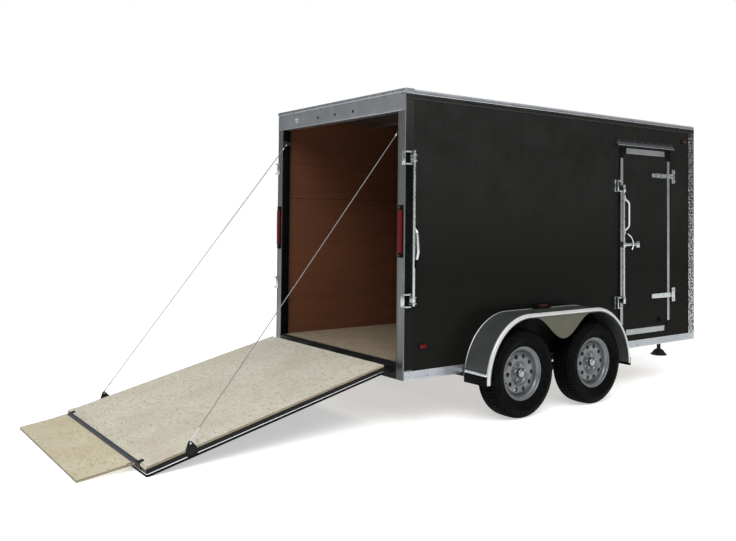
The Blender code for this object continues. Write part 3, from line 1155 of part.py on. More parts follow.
def standoff(cosine):
    """How far a cable's end stops from a face that it meets at a slant."""
    return (SEAT + CABLE_RADIUS * math.sqrt(1 - cosine * cosine)) / cosine


def cables(trailer, swing, top):
    """Straight wire ropes from the posts' anchors to the ramp's brackets."""
    bpy.context.view_layer.update()
    for side, sign in SIDES.items():
        y = sign * (RAMP_HALF_WIDTH + CABLE_BRACKET_THICKNESS / 2)
        eye = Vector((-CABLE_BRACKET_AT - RAMP_START, y, top + CABLE_BRACKET_HEIGHT))
        low = swing.matrix_world @ eye
        high = Vector((CABLE_TOP_X - ANCHOR_SIZE / 2, y, CABLE_TOP_Z))
        along = (high - low).normalized()
        deck_up = swing.matrix_world.to_3x3() @ Vector((0, 0, 1))
        tube("cable_" + side, [low + along * standoff(along.dot(deck_up)), high - along * standoff(along.x)],
             CABLE_RADIUS, "wire_rope", trailer)


def main():
    trailer = pivot("trailer", (0, 0, 0))
    floor_frame(trailer)
    walls(trailer)
    roof(trailer)
    rear_portal(trailer)
    rear_sill(trailer)
    side_trims(trailer)
    stone_guard(trailer)
    tongue(trailer)
    for name, x in (("axle_rear", WHEEL_X_REAR), ("axle_front", WHEEL_X_FRONT)):
        axle(name, x, trailer)
    for side, sign in SIDES.items():
        suspension(side, sign, trailer)
        fender(side, sign, trailer)
        rear_lock(side, sign, trailer)
        for end, x in (("rear", WHEEL_X_REAR), ("front", WHEEL_X_FRONT)):
            wheel(end, side, sign, x, trailer)
    lamps(trailer)
    side_door(trailer)
    rear = ramp(trailer)
    front = BODY_LENGTH + TONGUE_TIP + COUPLER_LENGTH
    trailer.location.x = -(front + rear) / 2


main()
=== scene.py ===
import json
import math

import bmesh
import bpy
from mathutils import Matrix, Vector

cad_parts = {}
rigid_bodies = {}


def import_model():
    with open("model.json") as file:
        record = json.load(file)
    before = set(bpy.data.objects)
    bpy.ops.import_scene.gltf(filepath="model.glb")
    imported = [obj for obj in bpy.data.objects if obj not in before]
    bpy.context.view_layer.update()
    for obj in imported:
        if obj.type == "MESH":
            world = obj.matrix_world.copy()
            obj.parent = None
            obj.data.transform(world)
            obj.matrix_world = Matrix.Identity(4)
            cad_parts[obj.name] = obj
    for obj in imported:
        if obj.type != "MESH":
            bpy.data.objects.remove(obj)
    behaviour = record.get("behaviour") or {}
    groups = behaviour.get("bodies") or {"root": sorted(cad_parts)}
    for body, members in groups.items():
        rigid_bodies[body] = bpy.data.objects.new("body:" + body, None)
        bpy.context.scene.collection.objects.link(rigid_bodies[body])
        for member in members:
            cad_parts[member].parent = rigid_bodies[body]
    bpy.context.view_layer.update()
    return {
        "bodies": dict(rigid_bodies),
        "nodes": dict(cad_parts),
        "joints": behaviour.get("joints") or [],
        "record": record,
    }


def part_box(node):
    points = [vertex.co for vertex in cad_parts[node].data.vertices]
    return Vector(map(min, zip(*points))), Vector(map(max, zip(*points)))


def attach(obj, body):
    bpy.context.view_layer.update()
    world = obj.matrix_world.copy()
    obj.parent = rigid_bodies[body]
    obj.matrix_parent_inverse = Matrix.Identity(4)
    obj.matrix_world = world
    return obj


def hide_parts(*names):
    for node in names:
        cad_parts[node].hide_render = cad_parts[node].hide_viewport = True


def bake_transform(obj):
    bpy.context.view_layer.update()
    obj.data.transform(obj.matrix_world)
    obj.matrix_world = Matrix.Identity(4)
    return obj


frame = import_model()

nodes = frame["nodes"]
jointPlace = {joint["name"]: Vector(joint["pos_m"]) for joint in frame["joints"]}
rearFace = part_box("rear_header")[0].x      # rear face of the body, every X below is counted from it
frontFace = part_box("wall_front")[1].x
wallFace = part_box("wall_left")[1].y        # outside of the left skin, the right one is its mirror image
bodyName = "trailer"
sides = {"right": -1, "left": 1}
seat = 0.0003           # how far a dressed piece stands off the solid under it
weldGap = 0.00001
fineEdge = 0.0015       # how much the edges of small steel parts are softened
steelEdge = 0.002
roundEdge = 0.003


def along(distance):
    return rearFace + distance


def alongSpan(start, end):
    return along(start), along(end)


def sideSpan(sign, near, far):      # a span across one side, given as distances from the middle
    return tuple(sorted((sign * near, sign * far)))


def span(middle, half):
    return middle - half, middle + half


def shift(base, offsets):
    return [base + offset for offset in offsets]


def shade(colour, factor):
    return tuple(channel * factor for channel in colour)


# shapes

dome = {"sunk": 0.3, "wall": 0.55, "taper": 0.86, "inset": 0.42, "crown": 0.45, "sides": 8}
hexBolt = {"sunk": 0.2, "washer": 0.18, "washerWide": 1.45, "washerSides": 14, "taper": 0.93}


def place(shape, name, finish, body=bodyName, flatAngle=35):    # a finished piece from a bmesh
    mesh = bpy.data.meshes.new(name)
    shape.to_mesh(mesh)
    shape.free()
    piece = bpy.data.objects.new(name, mesh)
    bpy.context.scene.collection.objects.link(piece)
    mesh.materials.append(finishes[finish])
    mesh.shade_smooth()
    mesh.set_sharp_from_angle(angle=math.radians(flatAngle))
    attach(piece, body)
    return piece


def block(shape, x, y, z, soften=0.0, steps=2):     # a box over three spans, with softened edges
    low, high = (Vector(corner) for corner in zip(x, y, z))
    size = Matrix.Diagonal((*(high - low), 1))
    matrix = Matrix.Translation((low + high) / 2) @ size
    made = bmesh.ops.create_cube(shape, size=1, matrix=matrix)["verts"]
    if soften:
        edges = list({edge for vert in made for edge in vert.link_edges})
        bmesh.ops.bevel(shape, geom=edges, offset=soften, affect="EDGES", segments=steps, profile=0.5,
                        material=-1)


def boxes(name, finish, rows, soften=0.0, steps=2, body=bodyName):   # a piece made of boxes
    shape = bmesh.new()
    for x, y, z in rows:
        block(shape, x, y, z, soften, steps)
    return place(shape, name, finish, body)


def barBetween(shape, start, end, radius, tip=None, sidesCount=16):    # a round bar or cone
    start, end = Vector(start), Vector(end)
    reach = end - start
    turn = reach.to_track_quat("Z", "Y").to_matrix().to_4x4()
    return bmesh.ops.create_cone(shape, cap_ends=True, segments=sidesCount, radius1=radius,
                                 radius2=radius if tip is None else tip, depth=reach.length,
                                 matrix=Matrix.Translation((start + end) / 2) @ turn)["verts"]


def upright(shape, foot, rows):     # round bars standing on one line, as (from, to, radius, tip, sides)
    for low, high, *size in rows:
        barBetween(shape, foot + Vector((0, 0, low)), foot + Vector((0, 0, high)), *size)


def domeHead(shape, spot, outward, radius, height):    # a low screw or rivet head
    spot, outward = Vector(spot), Vector(outward).normalized()
    foot = barBetween(shape, spot - outward * height * dome["sunk"], spot + outward * height * dome["wall"],
                      radius, radius * dome["taper"], dome["sides"])
    top = [vert for vert in foot if (vert.co - spot).dot(outward) > 0]
    face = [face for face in top[0].link_faces if all(vert in top for vert in face.verts)]
    bmesh.ops.inset_region(shape, faces=face, thickness=radius * dome["inset"], use_even_offset=True)
    bmesh.ops.translate(shape, verts=face[0].verts, vec=outward * height * dome["crown"])


def hexHead(shape, spot, outward, radius, height):     # a bolt head with a washer under it
    spot, outward = Vector(spot), Vector(outward).normalized()
    barBetween(shape, spot - outward * height * hexBolt["sunk"], spot + outward * height * hexBolt["washer"],
               radius * hexBolt["washerWide"], None, hexBolt["washerSides"])
    barBetween(shape, spot, spot + outward * height, radius, radius * hexBolt["taper"], 6)


def screwRow(shape, start, end, gap, outward, radius=0.0042, height=0.0028):
    start, end = Vector(start), Vector(end)
    count = max(int(round((end - start).length / gap)), 1)
    for index in range(count + 1):
        domeHead(shape, start.lerp(end, index / count), outward, radius, height)


def ring(shape, points):       # a closed outline as one face
    return shape.faces.new([shape.verts.new(point) for point in points])


def raised(shape, face, offset):       # an outline drawn out into a solid
    made = bmesh.ops.extrude_face_region(shape, geom=[face])
    verts = [item for item in made["geom"] if isinstance(item, bmesh.types.BMVert)]
    bmesh.ops.translate(shape, verts=verts, vec=offset)
    bmesh.ops.recalc_face_normals(shape, faces=shape.faces)


def spun(shape, points, centre, axis, steps):       # an open row of edges spun round an axis
    verts = [shape.verts.new(point) for point in points]
    edges = [shape.edges.new(pair) for pair in zip(verts, verts[1:])]
    bmesh.ops.spin(shape, geom=verts + edges, cent=centre, axis=axis, angle=math.tau, steps=steps,
                   use_merge=True)
    bmesh.ops.remove_doubles(shape, verts=shape.verts, dist=weldGap)
    bmesh.ops.recalc_face_normals(shape, faces=shape.faces)


def lathe(shape, profile, centre, sign, steps):     # (radius, distance outwards) points spun round a Y axis
    points = [centre + Vector((0, sign * out, radius)) for radius, out in profile]
    spun(shape, points, centre, (0, 1, 0), steps)


def pipe(name, points, radius, finish, body=bodyName):       # a bent round bar
    curve = bpy.data.curves.new(name, "CURVE")
    curve.dimensions = "3D"
    curve.bevel_depth = radius
    curve.bevel_resolution = 3
    curve.use_fill_caps = True
    spline = curve.splines.new("POLY")
    spline.points.add(len(points) - 1)
    for knot, point in zip(spline.points, points):
        knot.co = (*point, 1)
    carrier = bpy.data.objects.new(name + "Curve", curve)
    bpy.context.scene.collection.objects.link(carrier)
    bpy.context.view_layer.update()
    shape = bmesh.new()
    solid = carrier.evaluated_get(bpy.context.evaluated_depsgraph_get())
    shape.from_mesh(bpy.data.meshes.new_from_object(solid))
    bpy.data.objects.remove(carrier)
    bmesh.ops.remove_doubles(shape, verts=shape.verts, dist=weldGap)
    bmesh.ops.recalc_face_normals(shape, faces=shape.faces)
    return place(shape, name, finish, body, 50)


def bend(corners, radius, steps=6, most=0.49):      # rounds the inner corners of a path
    corners = [Vector(corner) for corner in corners]
    points = [corners[0]]
    for before, corner, after in zip(corners, corners[1:], corners[2:]):
        reach = min(radius, (before - corner).length * most, (after - corner).length * most)
        start = corner + (before - corner).normalized() * reach
        end = corner + (after - corner).normalized() * reach
        for step in range(steps + 1):
            share = step / steps
            points.append(start * (1 - share) ** 2 + corner * 2 * share * (1 - share) + end * share ** 2)
    points.append(corners[-1])
    return points


def cut(piece, cutters):       # cuts closed shapes out of a finished piece
    tool = bpy.data.objects.new(piece.name + "Cutter", bpy.data.meshes.new("cutter"))
    cutters.to_mesh(tool.data)
    cutters.free()
    bpy.context.scene.collection.objects.link(tool)
    boolean = piece.modifiers.new("cut", "BOOLEAN")
    boolean.object = tool
    boolean.operation = "DIFFERENCE"
    boolean.solver = "EXACT"
    bpy.context.view_layer.update()
    done = bpy.data.meshes.new_from_object(piece.evaluated_get(bpy.context.evaluated_depsgraph_get()))
    piece.modifiers.clear()
    finish = piece.data.materials[0]
    piece.data = done
    done.materials.clear()
    done.materials.append(finish)
    bpy.data.objects.remove(tool)


# finishes

# height, gloss, length and share set the painted shade that weakens the skin's reflection downwards and
# towards the front
enamel = {"waves": 1.6, "grain": 900, "film": 5, "rough": (-0.03, 0.07),
          "height": (1.05, 2.45), "gloss": (0.045, 0.50), "length": (-1.3, 2.3), "share": (1.0, 0.36)}
flakes = {"scale": 34, "long": (1, 0.26, 1), "layers": ((0.4, 0.0), (-0.75, 3.7), (1.5, 9.1)),
          "middleAt": 0.25, "cover": (0.5, 0.56), "clouds": 3.2, "cloudCover": 0.6,
          "cloudReach": (0.42, 0.72),
          "warm": (0.84, 0.76, 0.68), "grain": 160, "grainLong": (1, 0.35, 1), "grainCover": 0.35}


def newFinish(name, colour, roughness, metallic=0.0, coat=0.0, gloss=0.5):
    finish = bpy.data.materials.new(name)
    finish.use_nodes = True
    inputs = finish.node_tree.nodes["Principled BSDF"].inputs
    inputs["Base Color"].default_value = (*colour, 1)
    inputs["Roughness"].default_value = roughness
    inputs["Metallic"].default_value = metallic
    inputs["Coat Weight"].default_value = coat
    inputs["Specular IOR Level"].default_value = gloss
    return finish


def pattern(finish, kind, scale, stretch=(1, 1, 1), turn=(0, 0, 0), shift=(0, 0, 0), mode="POINT", output=0,
            **settings):
    tree = finish.node_tree
    coordinates = tree.nodes.new("ShaderNodeTexCoord")
    mapping = tree.nodes.new("ShaderNodeMapping")
    mapping.vector_type = mode
    for name, value in (("Location", shift), ("Rotation", turn), ("Scale", stretch)):
        mapping.inputs[name].default_value = value
    texture = tree.nodes.new("ShaderNodeTex" + kind)
    texture.inputs["Scale"].default_value = scale
    for name, value in settings.items():
        texture.inputs[name].default_value = value
    tree.links.new(coordinates.outputs["Object"], mapping.inputs["Vector"])
    tree.links.new(mapping.outputs["Vector"], texture.inputs["Vector"])
    return texture.outputs["Fac" if kind == "Noise" else output]


def between(finish, source, low, high, fromLow=0.3, fromHigh=0.7):
    tree = finish.node_tree
    spread = tree.nodes.new("ShaderNodeMapRange")
    for name, value in (("From Min", fromLow), ("From Max", fromHigh), ("To Min", low), ("To Max", high)):
        spread.inputs[name].default_value = value
    tree.links.new(source, spread.inputs["Value"])
    return spread.outputs["Result"]


def blendColours(finish, factor, first, second):    # colours or colour sockets mixed by a factor socket
    tree = finish.node_tree
    mix = tree.nodes.new("ShaderNodeMix")
    mix.data_type = "RGBA"
    tree.links.new(factor, mix.inputs["Factor"])
    for socket, value in zip(mix.inputs[6:8], (first, second)):
        if isinstance(value, tuple):
            socket.default_value = (*value, 1)
        else:
            tree.links.new(value, socket)
    return mix.outputs[2]


def feed(finish, name, source):
    finish.node_tree.links.new(source, finish.node_tree.nodes["Principled BSDF"].inputs[name])


def tint(finish, factor, first, second):
    feed(finish, "Base Color", blendColours(finish, factor, first, second))


def relief(finish, source, distance, strength):     # adds to the bumps that the finish has
    tree = finish.node_tree
    shader = tree.nodes["Principled BSDF"]
    bump = tree.nodes.new("ShaderNodeBump")
    bump.inputs["Distance"].default_value = distance
    bump.inputs["Strength"].default_value = strength
    tree.links.new(source, bump.inputs["Height"])
    for link in list(shader.inputs["Normal"].links):
        tree.links.new(link.from_socket, bump.inputs["Normal"])
        tree.links.remove(link)
    tree.links.new(bump.outputs["Normal"], shader.inputs["Normal"])


def skinPaint(name, colour, roughness):    # baked enamel on thin sheet, which never lies quite flat
    finish = newFinish(name, colour, roughness)
    relief(finish, pattern(finish, "Noise", enamel["waves"], stretch=(1, 1, 0.6), Detail=1.0), 0.012, 0.35)
    relief(finish, pattern(finish, "Noise", enamel["grain"], Detail=2.0), 0.0002, 0.25)
    film = pattern(finish, "Noise", enamel["film"], Detail=6.0)
    feed(finish, "Roughness", between(finish, film, *shift(roughness, enamel["rough"])))
    tree = finish.node_tree     # the reflection weakens downwards from the roof and towards the front, painted shade that darkens the lower and front wall
    coordinates = tree.nodes.new("ShaderNodeTexCoord")
    split = tree.nodes.new("ShaderNodeSeparateXYZ")
    tree.links.new(coordinates.outputs["Object"], split.inputs["Vector"])
    gloss = between(finish, split.outputs["Z"], *enamel["gloss"], *enamel["height"])
    gloss.node.interpolation_type = "SMOOTHSTEP"
    paintedShade = tree.nodes.new("ShaderNodeMath")
    paintedShade.operation = "MULTIPLY"
    tree.links.new(gloss, paintedShade.inputs[0])
    tree.links.new(between(finish, split.outputs["X"], *enamel["share"], *enamel["length"]), paintedShade.inputs[1])
    feed(finish, "Specular IOR Level", paintedShade.outputs["Value"])
    return finish


def metal(name, colour, roughness, grain, metallic=1.0):    # brushed along its smallest grain
    finish = newFinish(name, colour, roughness, metallic)
    lines = pattern(finish, "Noise", 130, stretch=grain, Detail=5.0, Roughness=0.7)
    clouds = pattern(finish, "Noise", 7, Detail=5.0)
    tint(finish, between(finish, clouds, 0, 1), shade(colour, 0.82), colour)
    feed(finish, "Roughness", between(finish, lines, roughness - 0.05, roughness + 0.08))
    relief(finish, lines, 0.0003, 0.35)
    return finish


def powderCoat(name, colour, roughness):
    finish = newFinish(name, colour, roughness, gloss=0.14)
    relief(finish, pattern(finish, "Noise", 420, Detail=3.0), 0.0005, 0.4)
    dust = pattern(finish, "Noise", 9, Detail=7.0)
    tint(finish, between(finish, dust, 0, 1), colour, tuple(channel + 0.005 for channel in colour))
    feed(finish, "Roughness", between(finish, dust, roughness - 0.04, roughness + 0.12))
    return finish


def zinc(name, colour, roughness):      # galvanised steel with its spangle
    finish = newFinish(name, colour, roughness, 1.0)
    spangle = pattern(finish, "Voronoi", 110, Randomness=1.0)
    tint(finish, between(finish, spangle, 0, 1, 0, 0.6), shade(colour, 1.12), colour)
    clouds = pattern(finish, "Noise", 60, Detail=4.0)
    feed(finish, "Roughness", between(finish, clouds, roughness - 0.08, roughness + 0.1))
    relief(finish, spangle, 0.0002, 0.3)
    return finish


def glintedTreadPlate(name, bright, dark):     # random bright and dark cells over the plate, painted glints and painted shade standing for the lugs' sparkle
    finish = newFinish(name, bright, 0.3, 1.0)
    lugs = pattern(finish, "Voronoi", 56, Randomness=0.6)
    tint(finish, between(finish, lugs, 0, 1, 0.30, 0.52), bright, dark)
    relief(finish, pattern(finish, "Noise", 90, Detail=4.0), 0.0008, 0.5)
    return finish


def strandBoard(name, pale, middle, dark):      # three layers of flakes laid at different angles
    finish = newFinish(name, middle, 0.72)
    tree = finish.node_tree
    colour = None
    for turn, away in flakes["layers"]:
        single = tree.nodes.new("ShaderNodeSeparateColor")
        chips = pattern(finish, "Voronoi", flakes["scale"], flakes["long"], (0, 0, turn), (away, away, 0),
                        "TEXTURE", "Color")
        tree.links.new(chips, single.inputs["Color"])
        ramp = tree.nodes.new("ShaderNodeValToRGB")
        ramp.color_ramp.elements[0].color = (*dark, 1)
        ramp.color_ramp.elements[1].color = (*pale, 1)
        ramp.color_ramp.elements.new(flakes["middleAt"]).color = (*middle, 1)
        tree.links.new(single.outputs["Red"], ramp.inputs["Fac"])
        if colour is None:
            colour = ramp.outputs["Color"]
        else:
            cover = between(finish, single.outputs["Green"], 0, 1, *flakes["cover"])
            colour = blendColours(finish, cover, colour, ramp.outputs["Color"])
        relief(finish, single.outputs["Blue"], 0.0012, 0.3)
    warm = tuple(channel * share for channel, share in zip(middle, flakes["warm"]))
    clouds = pattern(finish, "Noise", flakes["clouds"], Detail=4.0)
    cover = between(finish, clouds, 0, flakes["cloudCover"], *flakes["cloudReach"])
    colour = blendColours(finish, cover, colour, warm)
    grain = pattern(finish, "Noise", flakes["grain"], stretch=flakes["grainLong"], Detail=6.0)
    tint(finish, between(finish, grain, 0, flakes["grainCover"]), colour, middle)
    relief(finish, grain, 0.0008, 0.3)
    return finish


def sawnEdge(name, colour):     # the layers of a board's cut edge
    finish = newFinish(name, colour, 0.85)
    layers = pattern(finish, "Noise", 90, stretch=(0.2, 0.2, 3), Detail=4.0)
    tint(finish, between(finish, layers, 0, 1), shade(colour, 0.45), colour)
    relief(finish, layers, 0.0008, 0.4)
    return finish


def plywood(name, light, dark):         # face veneer with its grain along the trailer
    finish = newFinish(name, light, 0.5)
    figure = pattern(finish, "Noise", 2.2, stretch=(0.35, 1, 7), Detail=5.0, Distortion=1.4)
    fine = pattern(finish, "Noise", 34, stretch=(0.12, 1, 6), Detail=4.0)
    broad = blendColours(finish, between(finish, figure, 0, 1, 0.35, 0.65), dark, light)
    tint(finish, between(finish, fine, 0, 0.45), broad, dark)
    relief(finish, fine, 0.0006, 0.3)
    return finish


def rubber(name, colour, roughness):
    finish = newFinish(name, colour, roughness, gloss=0.04)
    dust = pattern(finish, "Noise", 22, Detail=8.0)
    tint(finish, between(finish, dust, 0, 1, 0.4, 0.75), colour, tuple(channel + 0.003 for channel in colour))
    relief(finish, pattern(finish, "Noise", 600, Detail=3.0), 0.0003, 0.4)
    return finish


def wheelPaint(name, colour, roughness):        # silver paint under lacquer, with brake dust in it
    finish = newFinish(name, colour, roughness, 0.6, 0.3)
    dust = pattern(finish, "Noise", 14, Detail=7.0)
    tint(finish, between(finish, dust, 0, 1), shade(colour, 0.72), colour)
    relief(finish, pattern(finish, "Noise", 700, Detail=2.0), 0.0002, 0.3)
    return finish


def lens(name, colour):         # a moulded plastic lens with prisms on its inside
    finish = newFinish(name, colour, 0.18, gloss=0.12)
    prisms = pattern(finish, "Wave", 160, turn=(0, math.pi / 2, 0))
    tint(finish, prisms, shade(colour, 0.45), colour)
    relief(finish, prisms, 0.0008, 0.25)
    return finish


def ropeWire(name, colour):     # laid strands as slanting lines
    finish = newFinish(name, colour, 0.38, 0.9)
    strands = pattern(finish, "Wave", 330, turn=(0.6, 0.5, 0))
    tint(finish, strands, shade(colour, 0.35), colour)
    relief(finish, strands, 0.001, 0.5)
    return finish


finishes = {
    "skin": skinPaint("charcoalSkin", (0.0066, 0.0067, 0.0058), 0.27),
    "seam": powderCoat("seamShadow", (0.003, 0.003, 0.003), 0.5),
    "aluminium": metal("millAluminium", (0.48, 0.51, 0.54), 0.36, (0.02, 1, 1)),
    "upright": metal("postAluminium", (0.20, 0.215, 0.21), 0.4, (1, 1, 0.02)),
    "trim": metal("doorTrim", (0.42, 0.44, 0.435), 0.42, (1, 1, 0.02)),
    "tread": glintedTreadPlate("glintedTreadPlate", (0.74, 0.78, 0.79), (0.07, 0.075, 0.075)),
    "bright": metal("brightTread", (0.90, 0.91, 0.93), 0.22, (1, 1, 1)),
    "fender": metal("fenderSheet", (0.085, 0.094, 0.090), 0.32, (0.05, 1, 1), 0.35),
    # beige tint of the skirt, a painted reflection on bare aluminium
    "skirtReflection": metal("fenderSkirt", (0.082, 0.079, 0.052), 0.45, (0.05, 1, 1), 0.2),
    "lip": metal("rolledLip", (0.60, 0.61, 0.60), 0.32, (0.05, 1, 1), 0.4),
    "frame": powderCoat("blackFrame", (0.005, 0.005, 0.0055), 0.4),
    "zinc": zinc("zincSteel", (0.60, 0.62, 0.66), 0.34),
    "hardware": zinc("lockHardware", (0.50, 0.53, 0.53), 0.28),
    "hinge": powderCoat("hingeSteel", (0.040, 0.043, 0.055), 0.34),
    "wheel": wheelPaint("wheelSilver", (0.155, 0.168, 0.175), 0.34),
    "chrome": metal("chrome", (0.34, 0.35, 0.36), 0.12, (1, 1, 1)),
    "rubber": rubber("tyreRubber", (0.0016, 0.0016, 0.0019), 0.62),
    "plastic": rubber("blackPlastic", (0.0025, 0.0025, 0.003), 0.45),
    "plywood": plywood("wallPlywood", (0.135, 0.049, 0.022), (0.105, 0.037, 0.0165)),
    # the roof's underside and its bows are coloured dark brown as painted shade
    "ceiling": powderCoat("roofUndersideShade", (0.05, 0.035, 0.028), 0.6),
    "deck": strandBoard("rampBoard", (0.60, 0.58, 0.485), (0.51, 0.485, 0.395), (0.31, 0.26, 0.195)),
    "flap": strandBoard("flapBoard", (0.56, 0.525, 0.385), (0.49, 0.445, 0.315), (0.33, 0.265, 0.165)),
    "floor": strandBoard("floorBoard", (0.38, 0.315, 0.215), (0.28, 0.225, 0.148), (0.15, 0.11, 0.068)),
    "boardEdge": sawnEdge("boardEdge", (0.30, 0.26, 0.18)),
    "red": lens("redLens", (0.13, 0.002, 0.006)),
    "amber": lens("amberLens", (0.055, 0.017, 0.006)),
    "white": powderCoat("whitePaint", (0.66, 0.66, 0.63), 0.3),
    "rope": ropeWire("wireRope", (0.42, 0.42, 0.41)),
}
nodeFinish = {
    "skin": ["wall_left", "wall_right", "wall_front", "side_door", "ramp_skin"],
    "aluminium": ["roof", "rear_header", "bottom_trim_left", "bottom_trim_right"],
    "trim": ["side_door_trim"],
    "upright": ["rear_post_left", "rear_post_right"],
    "tread": ["stone_guard"],
    "fender": ["fender_left", "fender_right"],
    "frame": ["main_frame", "rear_sill", "tongue_frame", "coupler", "jack_leg", "axle_rear", "axle_front",
              "suspension_left", "suspension_right", "ramp_frame"],
    "zinc": ["jack_tube"],
    "hinge": ["flap_hinge", "drip_cap"],
    "hardware": ["door_lock", "door_strap_upper", "door_strap_lower", "hinge_plate_upper",
                 "hinge_plate_lower", "rear_lock_left", "rear_lock_right"],
    "white": ["door_grab_handle"],
    "plywood": ["lining_left", "lining_right", "lining_front"],
    "floor": ["floor_deck"],
    "deck": ["ramp_deck"],
    "flap": ["flap_panel"],
    "red": ["tail_light_left", "tail_light_right", "marker_rear_left", "marker_rear_right"],
    "amber": ["marker_front_left", "marker_front_right", "fender_lamp_left", "fender_lamp_right"],
    "rope": ["cable_left", "cable_right"],
    "rubber": [name for name in nodes if name.startswith("tyre_")],
    "wheel": [name for name in nodes if name.startswith("rim_")],
}
for finishName, nodeNames in nodeFinish.items():
    for nodeName in nodeNames:
        materials = nodes[nodeName].data.materials
        materials.clear()
        materials.append(finishes[finishName])
print("finishes ready")


# studio and camera

studio = {"floorHalf": 60, "floorColour": (0.9, 0.9, 0.9), "floorRough": 0.85, "floorGloss": 0.15,
          "floorGlow": 0.5, "From Min": 0.10, "From Max": 0.6, "To Min": 0.16, "To Max": 1.12,
          "keyPower": 760, "keySize": 7, "keyAt": (-8, -8, 9),
          "sidePower": 240, "sideSize": 6, "sideAt": (-1, -8, 10)}
view = {"spot": (-4.844, -5.373, 1.531), "yaw": 53.44, "pitch": 1.50, "roll": 0.55, "lens": 38.62,
        "sensor": 36, "shift": (-0.0152, -0.0997)}


def makeFloor():
    shape = bmesh.new()
    bmesh.ops.create_grid(shape, x_segments=1, y_segments=1, size=studio["floorHalf"])
    mesh = bpy.data.meshes.new("floor")
    shape.to_mesh(mesh)
    shape.free()
    floor = bpy.data.objects.new("floor", mesh)
    bpy.context.scene.collection.objects.link(floor)
    pale = newFinish("paleFloor", studio["floorColour"], studio["floorRough"], gloss=studio["floorGloss"])
    mesh.materials.append(pale)
    inputs = pale.node_tree.nodes["Principled BSDF"].inputs
    inputs["Emission Color"].default_value = (1, 1, 1, 1)
    inputs["Emission Strength"].default_value = studio["floorGlow"]


def makeWorld():        # white to the camera, and brighter overhead than at the horizon as a light
    world = bpy.data.worlds.new("studio")
    bpy.context.scene.world = world
    world.use_nodes = True
    tree = world.node_tree
    tree.nodes.clear()
    kinds = ("OutputWorld", "MixShader", "Background", "Background", "LightPath", "TexCoord", "SeparateXYZ",
             "MapRange")
    output, mix, seen, light, path, coordinates, split, height = (tree.nodes.new("ShaderNode" + kind)
                                                                  for kind in kinds)
    seen.inputs["Color"].default_value = (1, 1, 1, 1)
    for name in ("From Min", "From Max", "To Min", "To Max"):
        height.inputs[name].default_value = studio[name]
    for source, target in ((coordinates.outputs["Generated"], split.inputs["Vector"]),
                           (split.outputs["Z"], height.inputs["Value"]),
                           (height.outputs["Result"], light.inputs["Strength"]),
                           (path.outputs["Is Camera Ray"], mix.inputs["Fac"]),
                           (light.outputs["Background"], mix.inputs[1]),
                           (seen.outputs["Background"], mix.inputs[2]),
                           (mix.outputs["Shader"], output.inputs["Surface"])):
        tree.links.new(source, target)


def makeLamp(name):
    lamp = bpy.data.lights.new(name, "AREA")
    lamp.energy = studio[name + "Power"]
    lamp.size = studio[name + "Size"]
    holder = bpy.data.objects.new(name, lamp)
    holder.location = studio[name + "At"]
    holder.rotation_mode = "QUATERNION"
    holder.rotation_quaternion = (-Vector(studio[name + "At"])).to_track_quat("-Z", "Y")
    bpy.context.scene.collection.objects.link(holder)


def makeCamera():
    yaw, pitch, roll = (math.radians(view[name]) for name in ("yaw", "pitch", "roll"))
    ahead = Vector((math.cos(yaw) * math.cos(pitch), math.sin(yaw) * math.cos(pitch), math.sin(pitch)))
    right = ahead.cross(Vector((0, 0, 1))).normalized()
    up = right.cross(ahead)
    turned = right * math.cos(roll) + up * math.sin(roll)
    raisedUp = up * math.cos(roll) - right * math.sin(roll)
    camera = bpy.data.objects.new("camera", bpy.data.cameras.new("camera"))
    camera.data.sensor_width = view["sensor"]
    camera.data.lens = view["lens"]
    camera.data.shift_x, camera.data.shift_y = view["shift"]
    basis = Matrix((turned, raisedUp, -ahead)).transposed().to_4x4()
    camera.matrix_world = Matrix.Translation(view["spot"]) @ basis
    bpy.context.scene.collection.objects.link(camera)
    bpy.context.scene.camera = camera


makeFloor()
makeWorld()
makeLamp("key")
makeLamp("side")
makeCamera()
bpy.context.scene.view_settings.view_transform = "Standard"
print("studio ready")


# wheels, with profiles as (radius, distance outwards)

tyre = {"steps": 216, "pitch": 3, "notch": (0.0006, 0.007), "notchBand": (0.0535, 0.0845), "notchFrom": 0.322,
        "sipe": (0.0022, 0.005), "sipeBand": 0.0435, "sipeFrom": 0.3405, "wall": 0.012, "narrow": 0.88,
        "crown": 0.3290, "crownShare": 0.8,
        "outline": ((0.1935, 0.0600), (0.2010, 0.0655), (0.2120, 0.0672), (0.2190, 0.0735), (0.2245, 0.0790),
                    (0.2290, 0.0800), (0.2330, 0.0815), (0.2450, 0.0910), (0.2560, 0.0965), (0.2700, 0.1010),
                    (0.2740, 0.1024), (0.2780, 0.1024), (0.2820, 0.1008), (0.2960, 0.0985), (0.3080, 0.0940),
                    (0.3170, 0.0880), (0.3190, 0.0880), (0.3290, 0.0805), (0.3365, 0.0725), (0.3395, 0.0640),
                    (0.3408, 0.0535), (0.3325, 0.0520), (0.3325, 0.0450), (0.3415, 0.0435), (0.3425, 0.0190),
                    (0.3345, 0.0178), (0.3345, 0.0112), (0.3428, 0.0100))}
